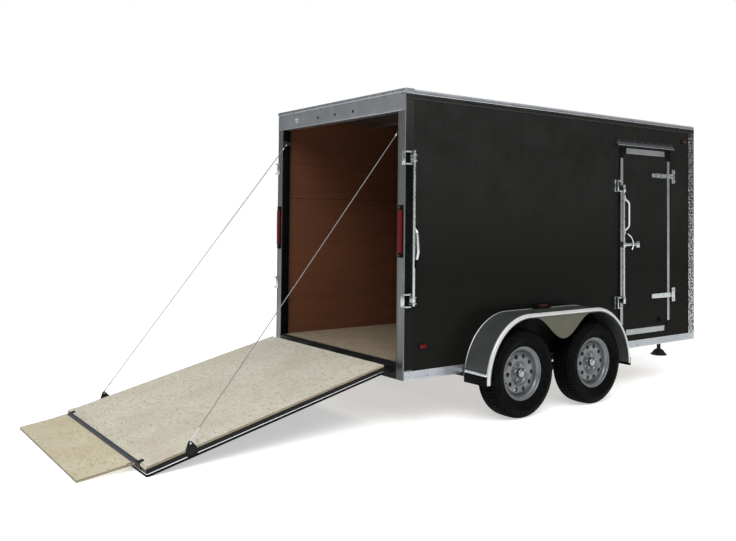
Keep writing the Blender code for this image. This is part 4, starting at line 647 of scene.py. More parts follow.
rim = {"steps": 96, "sharp": 28, "vents": 10, "ventCircle": 0.131, "ventRadius": 0.0185,
       "ventReach": (0.006, 0.06), "lugs": 5, "lugCircle": 0.057, "lugTurn": 0.25, "lugFoot": 0.0213,
       "nutRadius": 0.0105,
       "nut": ((0, 0.005, 1.25, 1, 20), (0.004, 0.024, 1, 0.93, 6), (0.024, 0.028, 0.8, 0.35, 16)),
       "valveTurn": 200, "valveCircle": 0.176,
       "valve": ((0.036, 0.058, 0.0045, 0.0036, 12), (0.056, 0.066, 0.0028, None, 12)),
       "face": ((0.0, 0.0675), (0.0200, 0.0672), (0.0270, 0.0650), (0.0305, 0.0600), (0.0315, 0.0540),
                (0.0320, 0.0235), (0.0340, 0.0215), (0.0740, 0.0215), (0.0780, 0.0235), (0.0870, 0.0345),
                (0.0920, 0.0375), (0.1050, 0.0405), (0.1320, 0.0415), (0.1500, 0.0385), (0.1600, 0.0320),
                (0.1665, 0.0245), (0.1690, 0.0235), (0.1712, 0.0260), (0.1740, 0.0380), (0.1790, 0.0500),
                (0.1840, 0.0570), (0.1925, 0.0615), (0.1985, 0.0655), (0.2010, 0.0700), (0.2035, 0.0714),
                (0.2060, 0.0714), (0.2070, 0.0690), (0.2065, 0.0660), (0.1932, 0.0652), (0.1925, 0.0600),
                (0.1925, -0.0652), (0.2065, -0.0655), (0.2070, -0.0700), (0.2035, -0.0714), (0.1720, -0.0600),
                (0.1720, 0.0180), (0.1280, 0.0195), (0.1280, -0.0495), (0.0, -0.0495)),
       "cap": ((0.0, 0.0690), (0.0190, 0.0686), (0.0275, 0.0664), (0.0322, 0.0610), (0.0328, 0.0540),
               (0.0330, 0.0300), (0.0375, 0.0225), (0.0375, 0.0218), (0.0, 0.0218)), "capSteps": 48}


def onCircle(centre, radius, angle):
    return centre + Vector((math.cos(angle), 0, math.sin(angle))) * radius


def makeTyre(end, side):
    body = f"wheel_{end}_{side}"
    centre = jointPlace[body + "_spin"]
    outer = tyre["outline"]
    inside = [(radius - tyre["wall"], out * tyre["narrow"]) for radius, out in outer[:17:4]]
    flat = inside[-1][1] * tyre["crownShare"]
    profile = [(radius, -out) for radius, out in outer] + [(radius, out) for radius, out in reversed(outer)]
    profile += inside + [(tyre["crown"], flat), (tyre["crown"], -flat)]
    profile += [(radius, -out) for radius, out in reversed(inside)] + profile[:1]
    shape = bmesh.new()
    lathe(shape, profile, centre, 1, tyre["steps"])
    notches, sipes = [], []
    for face in shape.faces:
        spot = face.calc_center_median() - centre
        radius, out = math.hypot(spot.x, spot.z), abs(spot.y)
        column = math.floor((math.atan2(spot.z, spot.x) / math.tau + 0.5) * tyre["steps"]) % tyre["pitch"]
        if tyre["notchBand"][0] < out < tyre["notchBand"][1] and radius > tyre["notchFrom"] and column == 0:
            notches.append(face)
        elif out < tyre["sipeBand"] and radius > tyre["sipeFrom"] and column == 1:
            sipes.append(face)
    for faces, (thickness, depth) in ((notches, tyre["notch"]), (sipes, tyre["sipe"])):
        bmesh.ops.inset_region(shape, faces=faces, thickness=thickness, depth=-depth, use_even_offset=True)
    piece = place(shape, f"tyre{end.title()}{side.title()}", "rubber", body, 30)
    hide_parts(f"tyre_{end}_{side}")


def makeRim(end, side, sign):
    body = f"wheel_{end}_{side}"
    centre = jointPlace[body + "_spin"]
    outward = Vector((0, sign, 0))
    title = f"rim{end.title()}{side.title()}"
    shape = bmesh.new()
    lathe(shape, rim["face"], centre, sign, rim["steps"])
    piece = place(shape, title, "wheel", body, rim["sharp"])
    cutters = bmesh.new()
    for index in range(rim["vents"]):
        spot = onCircle(centre, rim["ventCircle"], math.tau * index / rim["vents"])
        barBetween(cutters, *(spot + outward * out for out in rim["ventReach"]), rim["ventRadius"], None, 28)
    cut(piece, cutters)
    piece.data.shade_smooth()
    piece.data.set_sharp_from_angle(angle=math.radians(rim["sharp"]))
    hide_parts(f"rim_{end}_{side}")
    shape = bmesh.new()     # lug nuts and the hub's cap
    for index in range(rim["lugs"]):
        spot = onCircle(centre, rim["lugCircle"], math.tau * (index + rim["lugTurn"]) / rim["lugs"])
        spot.y += sign * rim["lugFoot"]
        for near, far, wide, narrow, count in rim["nut"]:
            barBetween(shape, spot + outward * near, spot + outward * far, rim["nutRadius"] * wide,
                       rim["nutRadius"] * narrow, count)
    lathe(shape, rim["cap"], centre, sign, rim["capSteps"])
    place(shape, title + "Chrome", "chrome", body, 40)
    shape = bmesh.new()     # rubber valve in the outer well
    spot = onCircle(centre, rim["valveCircle"], math.radians(rim["valveTurn"]))
    for near, far, *size in rim["valve"]:
        barBetween(shape, spot + outward * near, spot + outward * far, *size)
    place(shape, title + "Valve", "plastic", body)


for side, sign in sides.items():
    for end in ("rear", "front"):
        makeTyre(end, side)
        makeRim(end, side, sign)
print("wheels ready")


# fenders, with sections as (distance from the wall, rise over the sheet)

fender = {"middle": 1.435, "half": 0.85, "flat": 0.4, "top": 0.8, "bottom": 0.307, "width": 0.257,
          "steps": 36, "sheet": 0.003, "fold": 0.012, "foldWide": 1.1, "foldRise": 0.003, "foldSteps": 8,
          "crease": (1.6, 1.25), "creaseRise": 0.0012, "lip": 0.03, "brightLip": 0.022,
          "brightOut": 0.0026, "brightRise": 0.0042,
          "brightTurn": 0.62, "brightSteps": 10,
          "bead": ((0.0, 0.0002), (0.006, 0.0002), (0.005, 0.0016), (0.002, 0.0040), (0.0, 0.0044)),
          "skirtHalf": 0.34, "skirtLap": 0.05, "skirtIn": 0.022, "skirtDrop": 0.185, "skirtBack": 0.006,
          "skirtSheet": 0.002, "skirtSteps": 24}
fenderFoot = {"in": 0.012, "out": 0.004, "rearX": (-0.011, -0.004), "rearZ": (0.298, 0.386),
              "frontX": (0.004, 0.011), "frontZ": (0.282, 0.352), "stripX": (-0.0145, -0.003),
              "stripZ": (0.372, 0.394),
              "stripEnd": 0.004, "rivets": 4, "rivetEnd": 0.03, "rivet": (0.005, 0.004)}


def fenderLine(inset):      # the line over both wheels with its outward direction, from the rear foot on
    points = []
    reach, rise = fender["half"] - fender["flat"], fender["top"] - fender["bottom"]
    for step in range(fender["steps"] + 1):
        angle = math.pi / 2 * step / fender["steps"]
        normal = Vector((-math.cos(angle) / reach, 0, math.sin(angle) / rise)).normalized()
        spot = Vector((-fender["flat"] - reach * math.cos(angle), 0,
                       fender["bottom"] + rise * math.sin(angle)))
        points.append((spot - normal * inset, normal))
    mirror = Matrix.Diagonal((-1, 1, 1))
    points += [(mirror @ spot, mirror @ normal) for spot, normal in reversed(points)]
    middle = Vector((along(fender["middle"]), 0, 0))
    return [(spot + middle, normal) for spot, normal in points]


def sweep(section, sign):       # a closed section bridged along the fender's line and capped
    shape = bmesh.new()
    loops = []
    for spot, normal in fenderLine(0):
        verts = [shape.verts.new(spot + normal * rise + Vector((0, sign * (wallFace + seat + out), 0)))
                 for out, rise in section]
        loops.append([shape.edges.new(pair) for pair in zip(verts, verts[1:] + verts[:1])])
    for first, second in zip(loops, loops[1:]):
        bmesh.ops.bridge_loops(shape, edges=first + second)
    bmesh.ops.holes_fill(shape, edges=loops[0] + loops[-1], sides=0)
    bmesh.ops.recalc_face_normals(shape, faces=shape.faces)
    return shape


def makeFender(side, sign):
    title = side.title()
    edge, fold, sheet, lip = fender["width"], fender["fold"], fender["sheet"], fender["lip"]
    section = [(0.0, 0.0), (edge - fold * fender["crease"][0], 0.0),
               (edge - fold * fender["crease"][1], fender["creaseRise"])]
    for step in range(fender["foldSteps"] + 1):     # the rolled edge stands a little proud of the sheet
        angle = math.pi / 2 * (1 - step / fender["foldSteps"])
        section.append((edge - fold + fold * fender["foldWide"] * math.cos(angle),
                        (fold + fender["foldRise"]) * math.sin(angle) - fold))
    section += [(edge + fold * (fender["foldWide"] - 1), -lip), (edge - sheet, -lip), (edge - sheet, -fold),
                (edge - fold, -sheet), (0.0, -sheet)]
    piece = place(sweep(section, sign), "fender" + title, "fender", flatAngle=40)
    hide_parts("fender_" + side)
    section = []            # white rolled edge all round
    for step in range(fender["brightSteps"] + 1):
        angle = math.pi * fender["brightTurn"] * (1 - step / fender["brightSteps"])
        section.append((edge - fold + (fold + fender["brightOut"]) * math.cos(angle),
                        (fold + fender["brightRise"]) * math.sin(angle) - fold))
    section += [(edge + fender["brightOut"], -fender["brightLip"]), (edge, -fender["brightLip"])]
    place(sweep(section, sign), "fenderLip" + title, "lip", flatAngle=50)
    place(sweep(fender["bead"], sign), "fenderBead" + title, "trim")    # bead of sealant along the wall


def makeSkirt(side, sign):      # the sheet that hangs between the wheels; its beige tint is a painted reflection on bare aluminium
    face = sign * (wallFace + seat + fender["width"] - fender["skirtBack"])
    middle, half, steps = along(fender["middle"]), fender["skirtHalf"], fender["skirtSteps"]
    outline = [(spot.x, face, spot.z) for spot, normal in fenderLine(fender["skirtIn"])
               if abs(spot.x - middle) <= half + fender["skirtLap"]]
    for step in range(steps, -1, -1):
        share = 2 * step / steps - 1
        drop = fender["skirtDrop"] * (0.5 + 0.5 * math.cos(math.pi * share))
        outline.append((middle + half * share, face, fender["top"] - fender["lip"] - drop))
    shape = bmesh.new()
    raised(shape, ring(shape, outline), Vector((0, -sign * fender["skirtSheet"], 0)))
    place(shape, "fenderSkirt" + side.title(), "skirtReflection")


def makeFenderFeet(side, sign):     # rubber flap under each foot and the pale strip that holds the rear one
    near = wallFace + seat
    rear, front = alongSpan(*span(fender["middle"], fender["half"]))
    low, high = sideSpan(sign, near + fenderFoot["in"], near + fender["width"] - fenderFoot["out"])
    boxes("fenderRubber" + side.title(), "plastic",
          [(shift(rear, fenderFoot["rearX"]), (low, high), fenderFoot["rearZ"]),
           (shift(front, fenderFoot["frontX"]), (low, high), fenderFoot["frontZ"])], steelEdge)
    shape = bmesh.new()
    block(shape, shift(rear, fenderFoot["stripX"]), (low, high - fenderFoot["stripEnd"]),
          fenderFoot["stripZ"], fineEdge)
    x, z, end = rear + fenderFoot["stripX"][0], sum(fenderFoot["stripZ"]) / 2, fenderFoot["rivetEnd"]
    for index in range(fenderFoot["rivets"]):
        y = low + end + index * (high - low - 2 * end) / (fenderFoot["rivets"] - 1)
        domeHead(shape, (x, y, z), (-1, 0, 0), *fenderFoot["rivet"])
    place(shape, "fenderStrip" + side.title(), "bright")


for side, sign in sides.items():
    makeFender(side, sign)
    makeSkirt(side, sign)
    makeFenderFeet(side, sign)
print("fenders ready")


# body outside

sheetSeam = {"right": (1.20, 2.415), "left": (1.20, 2.415, 3.05), "width": 0.0035, "rise": 0.0012,
             "z": (0.437, 2.395), "soften": 0.0004, "rivetGap": 0.152, "rivetOff": 0.014, "rivetEnd": 0.03,
             "rivetHead": (0.0035, 0.0022)}


def makeSkinSeams(side, sign):      # lapped edges of the skin sheets, a near-black step of painted shadow with a row of rivets
    seams, rivets = bmesh.new(), bmesh.new()
    bottom, top = sheetSeam["z"]
    for seam in sheetSeam[side]:
        x, face = along(seam), sign * wallFace
        block(seams, (x, x + sheetSeam["width"]), sideSpan(sign, wallFace, wallFace + sheetSeam["rise"]),
              (bottom, top), sheetSeam["soften"])
        x += sheetSeam["rivetOff"]
        screwRow(rivets, (x, face, bottom + sheetSeam["rivetEnd"]), (x, face, top - sheetSeam["rivetEnd"]),
                 sheetSeam["rivetGap"], (0, sign, 0), *sheetSeam["rivetHead"])
    place(seams, "skinSeams" + side.title(), "seam")
    place(rivets, "skinRivets" + side.title(), "skin")


stoneGuard = {"pitch": 0.030, "length": 0.021, "width": 0.0055, "rise": 0.0013,
              "sideOut": wallFace + 0.0033, "sideColumns": 3, "sideFrom": 3.582, "sideLow": 0.452,
              "sideTall": 1.945, "frontAt": frontFace + 0.0034, "frontHalf": 0.9, "frontLow": 0.480,
              "frontTall": 0.58}


def lug(shape, spot, across, normal, index):    # one raised diamond, slanting the other way at each step
    upward = Vector((0, 0, 1))
    turn = math.pi / 4 if index % 2 else -math.pi / 4
    length = (across * math.cos(turn) + upward * math.sin(turn)) * stoneGuard["length"] / 2
    width = (upward * math.cos(turn) - across * math.sin(turn)) * stoneGuard["width"] / 2
    rise = normal * stoneGuard["rise"]
    frame = Matrix((length, width, rise)).transposed().to_4x4()
    bmesh.ops.create_cone(shape, segments=4, radius1=1, radius2=0, depth=1,
                          matrix=Matrix.Translation(spot + rise / 2) @ frame)


def makeGuardLugs():    # raised diamonds on the tread plate round the front corners
    shape = bmesh.new()
    pitch = stoneGuard["pitch"]
    for sign in (-1, 1):
        for row in range(int(stoneGuard["sideTall"] / pitch)):
            for column in range(stoneGuard["sideColumns"]):
                spot = Vector((along(stoneGuard["sideFrom"] + column * pitch), sign * stoneGuard["sideOut"],
                               stoneGuard["sideLow"] + row * pitch))
                lug(shape, spot, Vector((1, 0, 0)), Vector((0, sign, 0)), row + column)
    for row in range(int(stoneGuard["frontTall"] / pitch)):
        for column in range(int(2 * stoneGuard["frontHalf"] / pitch)):
            spot = Vector((stoneGuard["frontAt"], column * pitch - stoneGuard["frontHalf"],
                           stoneGuard["frontLow"] + row * pitch))
            lug(shape, spot, Vector((0, 1, 0)), Vector((1, 0, 0)), row + column)
    bmesh.ops.recalc_face_normals(shape, faces=shape.faces)
    place(shape, "guardLugs", "bright", flatAngle=10)


marker = {"rim": 0.002, "base": 0.006, "baseSoften": 0.002, "sunk": 0.004, "crown": 0.009, "crownSteps": 5}


def makeMarker(node, colour):   # a lens with a rounded crown on a thin base
    low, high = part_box(node)
    sign = 1 if low.y > 0 else -1
    near, far = wallFace + seat, max(abs(low.y), abs(high.y))
    rim = marker["rim"]
    title = node.title().replace("_", "")
    foot = ((low.x - rim, high.x + rim), sideSpan(sign, near, near + marker["base"]),
            (low.z - rim, high.z + rim))
    boxes(title + "Base", "plastic", [foot], marker["baseSoften"])
    glass = (low.x, high.x), sideSpan(sign, near + marker["sunk"], far), (low.z, high.z)
    piece = boxes(title + "Lens", colour, [glass], marker["crown"], marker["crownSteps"])
    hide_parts(node)


fenderLamp = {"past": 0.012, "foot": 0.004, "caseSoften": 0.006, "lensIn": 0.035, "lensDepth": 0.012,
              "lensOut": 0.007, "lensLow": 0.003, "lensHigh": 0.004, "lensSoften": 0.007}


def makeFenderLamp(side, sign):     # black carrier with an amber lens in its middle
    low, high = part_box("fender_lamp_" + side)
    past, inset = fenderLamp["past"], fenderLamp["lensIn"]
    case = (low.x - past, high.x + past), (low.y, high.y), (low.z - fenderLamp["foot"], high.z)
    piece = boxes("fenderLampCase" + side.title(), "plastic", [case], fenderLamp["caseSoften"], 3)
    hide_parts("fender_lamp_" + side)
    far = max(abs(low.y), abs(high.y))
    glass = ((low.x + inset, high.x - inset),
             sideSpan(sign, far - fenderLamp["lensDepth"], far + fenderLamp["lensOut"]),
             (low.z + fenderLamp["lensLow"], high.z - fenderLamp["lensHigh"]))
    boxes("fenderLampLens" + side.title(), "amber", [glass], fenderLamp["lensSoften"], 5)


tailLamp = {"back": 0.008, "side": 0.001, "soften": 0.004, "lowCap": 0.032, "highCap": 0.036,
            "capBack": 0.002, "capSoften": 0.008, "lensSide": 0.0022, "lensOut": 0.004, "lensLow": 0.030,
            "lensHigh": 0.034,
            "lensSoften": 0.012, "screwLow": 0.015, "screwHigh": 0.018, "screwHead": (0.0042, 0.0026)}


def makeTailLamp(side):
    low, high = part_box("tail_light_" + side)
    wide = (low.y - tailLamp["side"], high.y + tailLamp["side"])
    shape = bmesh.new()     # black body with its two end caps
    block(shape, (low.x + tailLamp["back"], high.x), wide, (low.z, high.z), tailLamp["soften"], 3)
    for ends in ((low.z, low.z + tailLamp["lowCap"]), (high.z - tailLamp["highCap"], high.z)):
        block(shape, (low.x, high.x - tailLamp["capBack"]), wide, ends, tailLamp["capSoften"], 4)
    piece = place(shape, "tailLampBody" + side.title(), "plastic")
    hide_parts("tail_light_" + side)
    glass = ((low.x - tailLamp["lensOut"], high.x - tailLamp["lensOut"]),
             (low.y - tailLamp["lensSide"], high.y + tailLamp["lensSide"]),
             (low.z + tailLamp["lensLow"], high.z - tailLamp["lensHigh"]))
    boxes("tailLampLens" + side.title(), "red", [glass], tailLamp["lensSoften"], 6)
    shape = bmesh.new()
    for z in (low.z + tailLamp["screwLow"], high.z - tailLamp["screwHigh"]):
        domeHead(shape, (low.x, (low.y + high.y) / 2, z), (-1, 0, 0), *tailLamp["screwHead"])
    place(shape, "tailLampScrews" + side.title(), "chrome")


for side, sign in sides.items():
    makeSkinSeams(side, sign)
    makeFenderLamp(side, sign)
    makeTailLamp(side)
    makeMarker("marker_front_" + side, "amber")
    makeMarker("marker_rear_" + side, "red")
makeGuardLugs()
print("body details ready")


# side door

doorGrow = 0.0012           # the trim's mouldings stand this far past the slab
doorRear, doorFront = along(2.475) - doorGrow, along(3.26) + doorGrow
doorLow, doorHigh = 0.485 - doorGrow, 2.19 + doorGrow
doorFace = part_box("side_door_trim")[0].y    # front of the aluminium trim on the right side
doorOn = doorFace - seat                    # where the hardware on the door stands
doorTrim = {"width": 0.05, "ridgeIn": 0.006, "ridge": (doorFace - 0.002, doorFace + 0.001),
            "ridgeSoften": 0.0015,
            "edgingOver": 0.0002, "edgingWidth": 0.0125, "edging": (doorFace - 0.0028, doorFace + 0.002),
            "edgingEnd": 0.09, "edgingSoften": 0.0012, "screwAt": doorFace - 0.0001, "screwEnd": 0.14,
            "uprightGap": 0.155, "crossGap": 0.13, "screwHead": (0.0038, 0.0024)}
doorCorner = {"size": 0.095, "width": 0.053, "arc": 0.032, "inner": 0.012, "proud": 0.001, "thick": 0.0042}
doorSeal = {"gap": 0.0058, "y": (0.004 - wallFace, 0.02 - wallFace), "soften": 0.0008}


def cornerPiece(shape, x, z, towardX, towardZ):     # a moulded L over a corner of the trim
    size, width, arc, inner = (doorCorner[name] for name in ("size", "width", "arc", "inner"))
    points = [(0, size), (0, arc)]
    points += [(arc - arc * math.cos(angle), arc - arc * math.sin(angle))
               for angle in (math.pi / 2 * step / 6 for step in range(1, 6))]
    points += [(arc, 0), (size, 0), (size, width), (width + inner, width)]
    points += [(width + inner * (1 - math.sin(angle)), width + inner * (1 - math.cos(angle)))
               for angle in (math.pi / 2 * step / 4 for step in range(1, 4))]
    points += [(width, width + inner), (width, size)]
    outline = [(x + towardX * across, doorFace + doorCorner["proud"], z + towardZ * up)
               for across, up in points]
    raised(shape, ring(shape, outline), Vector((0, -doorCorner["thick"], 0)))


def makeDoorCorners():
    shape = bmesh.new()
    for x, z, towardX, towardZ in ((doorRear, doorHigh, 1, -1), (doorFront, doorHigh, -1, -1),
                                   (doorFront, doorLow, -1, 1), (doorRear, doorLow, 1, 1)):
        cornerPiece(shape, x, z, towardX, towardZ)
    place(shape, "doorCorners", "plastic", "side_door", 40)


def makeDoorTrim():
    ridge = doorTrim["ridgeIn"]
    inset = doorTrim["width"] - ridge
    left, right, bottom, top = doorRear + inset, doorFront - inset, doorLow + inset, doorHigh - inset
    boxes("doorTrimRidge", "trim",      # ridge along the inner edge of the trim
          [((left, left + ridge), doorTrim["ridge"], (bottom, top)),
           ((right - ridge, right), doorTrim["ridge"], (bottom, top)),
           ((left, right), doorTrim["ridge"], (bottom, bottom + ridge)),
           ((left, right), doorTrim["ridge"], (top - ridge, top))], doorTrim["ridgeSoften"], body="side_door")
    over, width, end = doorTrim["edgingOver"], doorTrim["edgingWidth"], doorTrim["edgingEnd"]
    boxes("doorEdging", "plastic",      # dark edging over the outer part of the upright trims
          [(ends, doorTrim["edging"], (doorLow + end, doorHigh - end))
           for ends in ((doorRear - over, doorRear + width), (doorFront - width, doorFront + over))],
          doorTrim["edgingSoften"], body="side_door")
    shape = bmesh.new()     # screws along the middle of the trim
    middle, end, y = doorTrim["width"] / 2, doorTrim["screwEnd"], doorTrim["screwAt"]
    for x in (doorRear + middle, doorFront - middle):
        screwRow(shape, (x, y, doorLow + end), (x, y, doorHigh - end), doorTrim["uprightGap"], (0, -1, 0),
                 *doorTrim["screwHead"])
    for z in (doorLow + middle, doorHigh - middle):
        screwRow(shape, (doorRear + end, y, z), (doorFront - end, y, z), doorTrim["crossGap"], (0, -1, 0),
                 *doorTrim["screwHead"])
    place(shape, "doorTrimScrews", "chrome", "side_door")
    gap, y = doorSeal["gap"], doorSeal["y"]
    boxes("doorSeal", "plastic",        # rubber seal in the gap round the door
          [((doorRear - gap, doorRear), y, (doorLow - gap, doorHigh + gap)),
           ((doorFront, doorFront + gap), y, (doorLow - gap, doorHigh + gap)),
           ((doorRear, doorFront), y, (doorLow - gap, doorLow)),
           ((doorRear, doorFront), y, (doorHigh, doorHigh + gap))], doorSeal["soften"], 1)


strap = {"upper": 1.955, "lower": 0.82, "wide": 0.022, "narrow": 0.020, "thick": 0.005, "endIn": 0.012,
         "taper": 0.05, "noseLength": 0.012, "noseRound": 0.003, "noseShare": 0.7, "barrel": 0.0078,
         "tongueLap": 0.006, "tongueSoften": 0.001, "tongue": (-0.0025, 0.0035),
         "boltShares": (0.08, 0.34, 0.62, 0.88),
         "bolt": (0.0068, 0.006), "plateBolt": 0.042, "plateBoltIn": 0.018, "plateBoltOut": 0.011}


def makeStrap(level):       # hinge strap with its bolts, and the bolts of the wall plate
    plate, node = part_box("hinge_plate_" + level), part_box("door_strap_" + level)
    z, wide, narrow = strap[level], strap["wide"], strap["narrow"]
    end, tip = node[1].x - strap["endIn"], node[0].x
    half = [(end, wide), (end - strap["taper"], wide), (tip + strap["taper"], narrow),
            (tip + strap["noseLength"], narrow), (tip + strap["noseRound"], narrow * strap["noseShare"])]
    outline = [(x, z - up) for x, up in half] + [(tip, z)] + [(x, z + up) for x, up in reversed(half)]
    shape = bmesh.new()
    face = ring(shape, [(x, doorOn, height) for x, height in outline])
    raised(shape, face, Vector((0, -strap["thick"], 0)))
    pin = jointPlace["side_door_hinge"]
    barBetween(shape, (pin.x, pin.y, z - wide), (pin.x, pin.y, z + wide), strap["barrel"], None, 24)
    block(shape, (end - strap["tongueLap"], pin.x), shift(pin.y, strap["tongue"]), span(z, wide),
          strap["tongueSoften"])
    piece = place(shape, "doorStrap" + level.title(), "hardware", "side_door", 30)
    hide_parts("door_strap_" + level)
    shape = bmesh.new()
    for share in strap["boltShares"]:
        hexHead(shape, (tip + (end - tip) * share, doorOn - strap["thick"], z), (0, -1, 0), *strap["bolt"])
    place(shape, "strapBolts" + level.title(), "zinc", "side_door")
    shape = bmesh.new()
    for height in span(z, strap["plateBolt"]):
        spot = plate[1].x - strap["plateBoltIn"], plate[0].y + strap["plateBoltOut"], height
        hexHead(shape, spot, (0, -1, 0), *strap["bolt"])
    place(shape, "plateBolts" + level.title(), "zinc")


lock = {"x": along(2.5), "y": -wallFace - 0.032, "radius": 0.0102, "barIn": 0.004, "barSides": 28,
        "cam": ((-0.017, 0.014), (-0.012, 0.016), 0.012), "camIn": 0.001, "camSoften": 0.004,
        "leverZ": 1.31, "guideIn": 0.0275, "guide": (0.0145, 0.0135, 0.026), "guideSoften": 0.005,
        "plateFront": 0.058, "plateThick": 0.0055, "plateHalf": 0.0275, "plateSoften": 0.002,
        "lever": (0.245, 0.0045, 0.013), "leverSoften": 0.003, "catch": (0.17, 0.215), "catchOut": 0.016,
        "catchHalf": 0.027, "grip": ((0.225, 0.292), 0.008, 0.018), "gripSoften": 0.006,
        "boltAt": 0.042, "boltApart": 0.016, "bolt": (0.0052, 0.0045), "haspRadius": 0.006, "haspBend": 0.02,
        "hasp": ((0.088, 1.405), (0.098, 1.375), (0.128, 1.315), (0.104, 1.262)),
        "haspOut": (0.012, 0.014, 0.014), "haspFoot": 0.003}
keeper = {"rear": -0.088, "prong": -0.0225, "prongs": (-0.052, 0.040), "prongTall": 0.012,
          "prongSoften": 0.0025, "out": 0.036, "back": -0.074, "backHalf": 0.050, "backSoften": 0.003,
          "plate": (-0.092, -0.033),
          "plateOut": 0.005, "plateHalf": 0.054, "plateSoften": 0.0015, "pad": (-0.0735, -0.034),
          "padOut": (-0.008, -0.0045), "padHalf": 0.0395, "padSoften": 0.001, "gap": 0.0004}


def makeDoorLock():
    x, y = lock["x"], lock["y"]
    low, high = (corner.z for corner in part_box("door_lock"))
    guides = (low + lock["guideIn"], lock["leverZ"], high - lock["guideIn"])
    shape = bmesh.new()
    barBetween(shape, (x, y, low + lock["barIn"]), (x, y, high - lock["barIn"]), lock["radius"], None,
               lock["barSides"])
    camX, camY, camHalf = lock["cam"]
    for z in (low + lock["camIn"], high - lock["camIn"]):       # the cams at both ends
        block(shape, shift(x, camX), shift(y, camY), span(z, camHalf), lock["camSoften"], 3)
    half, out, tall = lock["guide"]
    foot = (doorFace - lock["plateThick"], doorOn)
    for z in guides:
        block(shape, span(x, half), (y - out, doorOn), span(z, tall), lock["guideSoften"], 3)
        block(shape, (x - half, x + lock["plateFront"]), foot, span(z, lock["plateHalf"]),
              lock["plateSoften"])
    length, out, tall = lock["lever"]
    block(shape, (x, x + length), span(y, out), span(lock["leverZ"], tall), lock["leverSoften"], 3)
    block(shape, shift(x, lock["catch"]), (y - lock["catchOut"], doorOn),
          span(lock["leverZ"], lock["catchHalf"]), lock["leverSoften"], 3)
    piece = place(shape, "doorLock", "hardware", "side_door", 35)
    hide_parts("door_lock")
    ends, out, tall = lock["grip"]      # grip sleeve on the lever's end
    boxes("doorLeverGrip", "plastic", [(shift(x, ends), span(y, out), span(lock["leverZ"], tall))],
          lock["gripSoften"], 4, "side_door")
    shape = bmesh.new()
    for z in guides:
        for height in span(z, lock["boltApart"]):
            hexHead(shape, (x + lock["boltAt"], foot[0], height), (0, -1, 0), *lock["bolt"])
    place(shape, "doorLockBolts", "zinc", "side_door")
    outs = [doorFace - lock["haspFoot"]] + [y - out for out in lock["haspOut"]]
    points = [(x + off, out, z) for (off, z), out in zip(lock["hasp"], outs)]
    pipe("hasp", bend(points, lock["haspBend"]), lock["haspRadius"], "zinc", "side_door")


def makeLockKeepers():      # keepers on the wall that the cams hook into
    x, wall = lock["x"], -wallFace
    deep = (wall - keeper["out"], wall - keeper["gap"])
    low, high = (corner.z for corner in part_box("door_lock"))
    shape, pads = bmesh.new(), bmesh.new()
    for z in (low, high):
        for height in keeper["prongs"]:
            block(shape, (x + keeper["rear"], x + keeper["prong"]), deep,
                  (z + height, z + height + keeper["prongTall"]), keeper["prongSoften"])
        block(shape, (x + keeper["rear"], x + keeper["back"]), deep, span(z, keeper["backHalf"]),
              keeper["backSoften"])
        block(shape, shift(x, keeper["plate"]), (wall - keeper["plateOut"], wall - keeper["gap"]),
              span(z, keeper["plateHalf"]), keeper["plateSoften"])
        block(pads, shift(x, keeper["pad"]), shift(wall, keeper["padOut"]),
              span(z, keeper["padHalf"]), keeper["padSoften"])
    place(shape, "lockKeepers", "hardware")
    place(pads, "keeperPads", "plastic")


grab = {"in": 0.02, "out": 0.052, "slope": 0.042, "bend": 0.022, "radius": 0.007, "foot": (0.014, 0.026),
        "footY": (0.004, 0.0002), "screw": 0.018, "screwHead": (0.0045, 0.003)}


def makeGrabHandle():
    low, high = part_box("door_grab_handle")
    x = (low.x + high.x) / 2
    bottom, top = low.z + grab["in"], high.z - grab["in"]
    points = [(x, doorOn, bottom), (x, doorOn - grab["out"], bottom + grab["slope"]),
              (x, doorOn - grab["out"], top - grab["slope"]), (x, doorOn, top)]
    piece = pipe("grabHandle", bend(points, grab["bend"], 8), grab["radius"], "white", "side_door")
    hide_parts("door_grab_handle")
    half, tall = grab["foot"]
    front = doorOn - grab["footY"][0]
    boxes("grabFeet", "white", [(span(x, half), (front, doorOn + grab["footY"][1]), span(z, tall))
                                for z in (bottom, top)], steelEdge, body="side_door")
    shape = bmesh.new()
    for z in (bottom, top):
        for height in span(z, grab["screw"]):
            domeHead(shape, (x, front, height), (0, -1, 0), *grab["screwHead"])
    place(shape, "grabScrews", "chrome", "side_door")


holdBack = {"x": along(3.08), "z": 0.59, "plate": (0.012, 0.03), "plateY": (0.004, 0.0),
            "stud": (0.007, 0.008), "studY": (0.03, 0.002)}
dripCap = {"flangeLow": 0.001, "flangeHigh": 0.024, "flangeOut": 0.004, "flangeGap": 0.0002,
           "flangeSoften": 0.0012, "noseIn": 0.001, "nose": (-0.0008, 0.0004), "noseZ": (0.0005, 0.0065),
           "noseSoften": 0.0005,
           "screwUp": 0.012, "screwEnd": 0.04, "screwGap": 0.12, "screwHead": (0.004, 0.0026)}


def makeHoldBack():     # the clip on the door that keeps it open
    shape = bmesh.new()
    for part, soften, steps in (("plate", steelEdge, 2), ("stud", roundEdge, 3)):
        half, tall = holdBack[part]
        front, back = (doorFace - out for out in holdBack[part + "Y"])
        block(shape, span(holdBack["x"], half), (front, back), span(holdBack["z"], tall), soften, steps)
    place(shape, "holdBack", "plastic", "side_door")


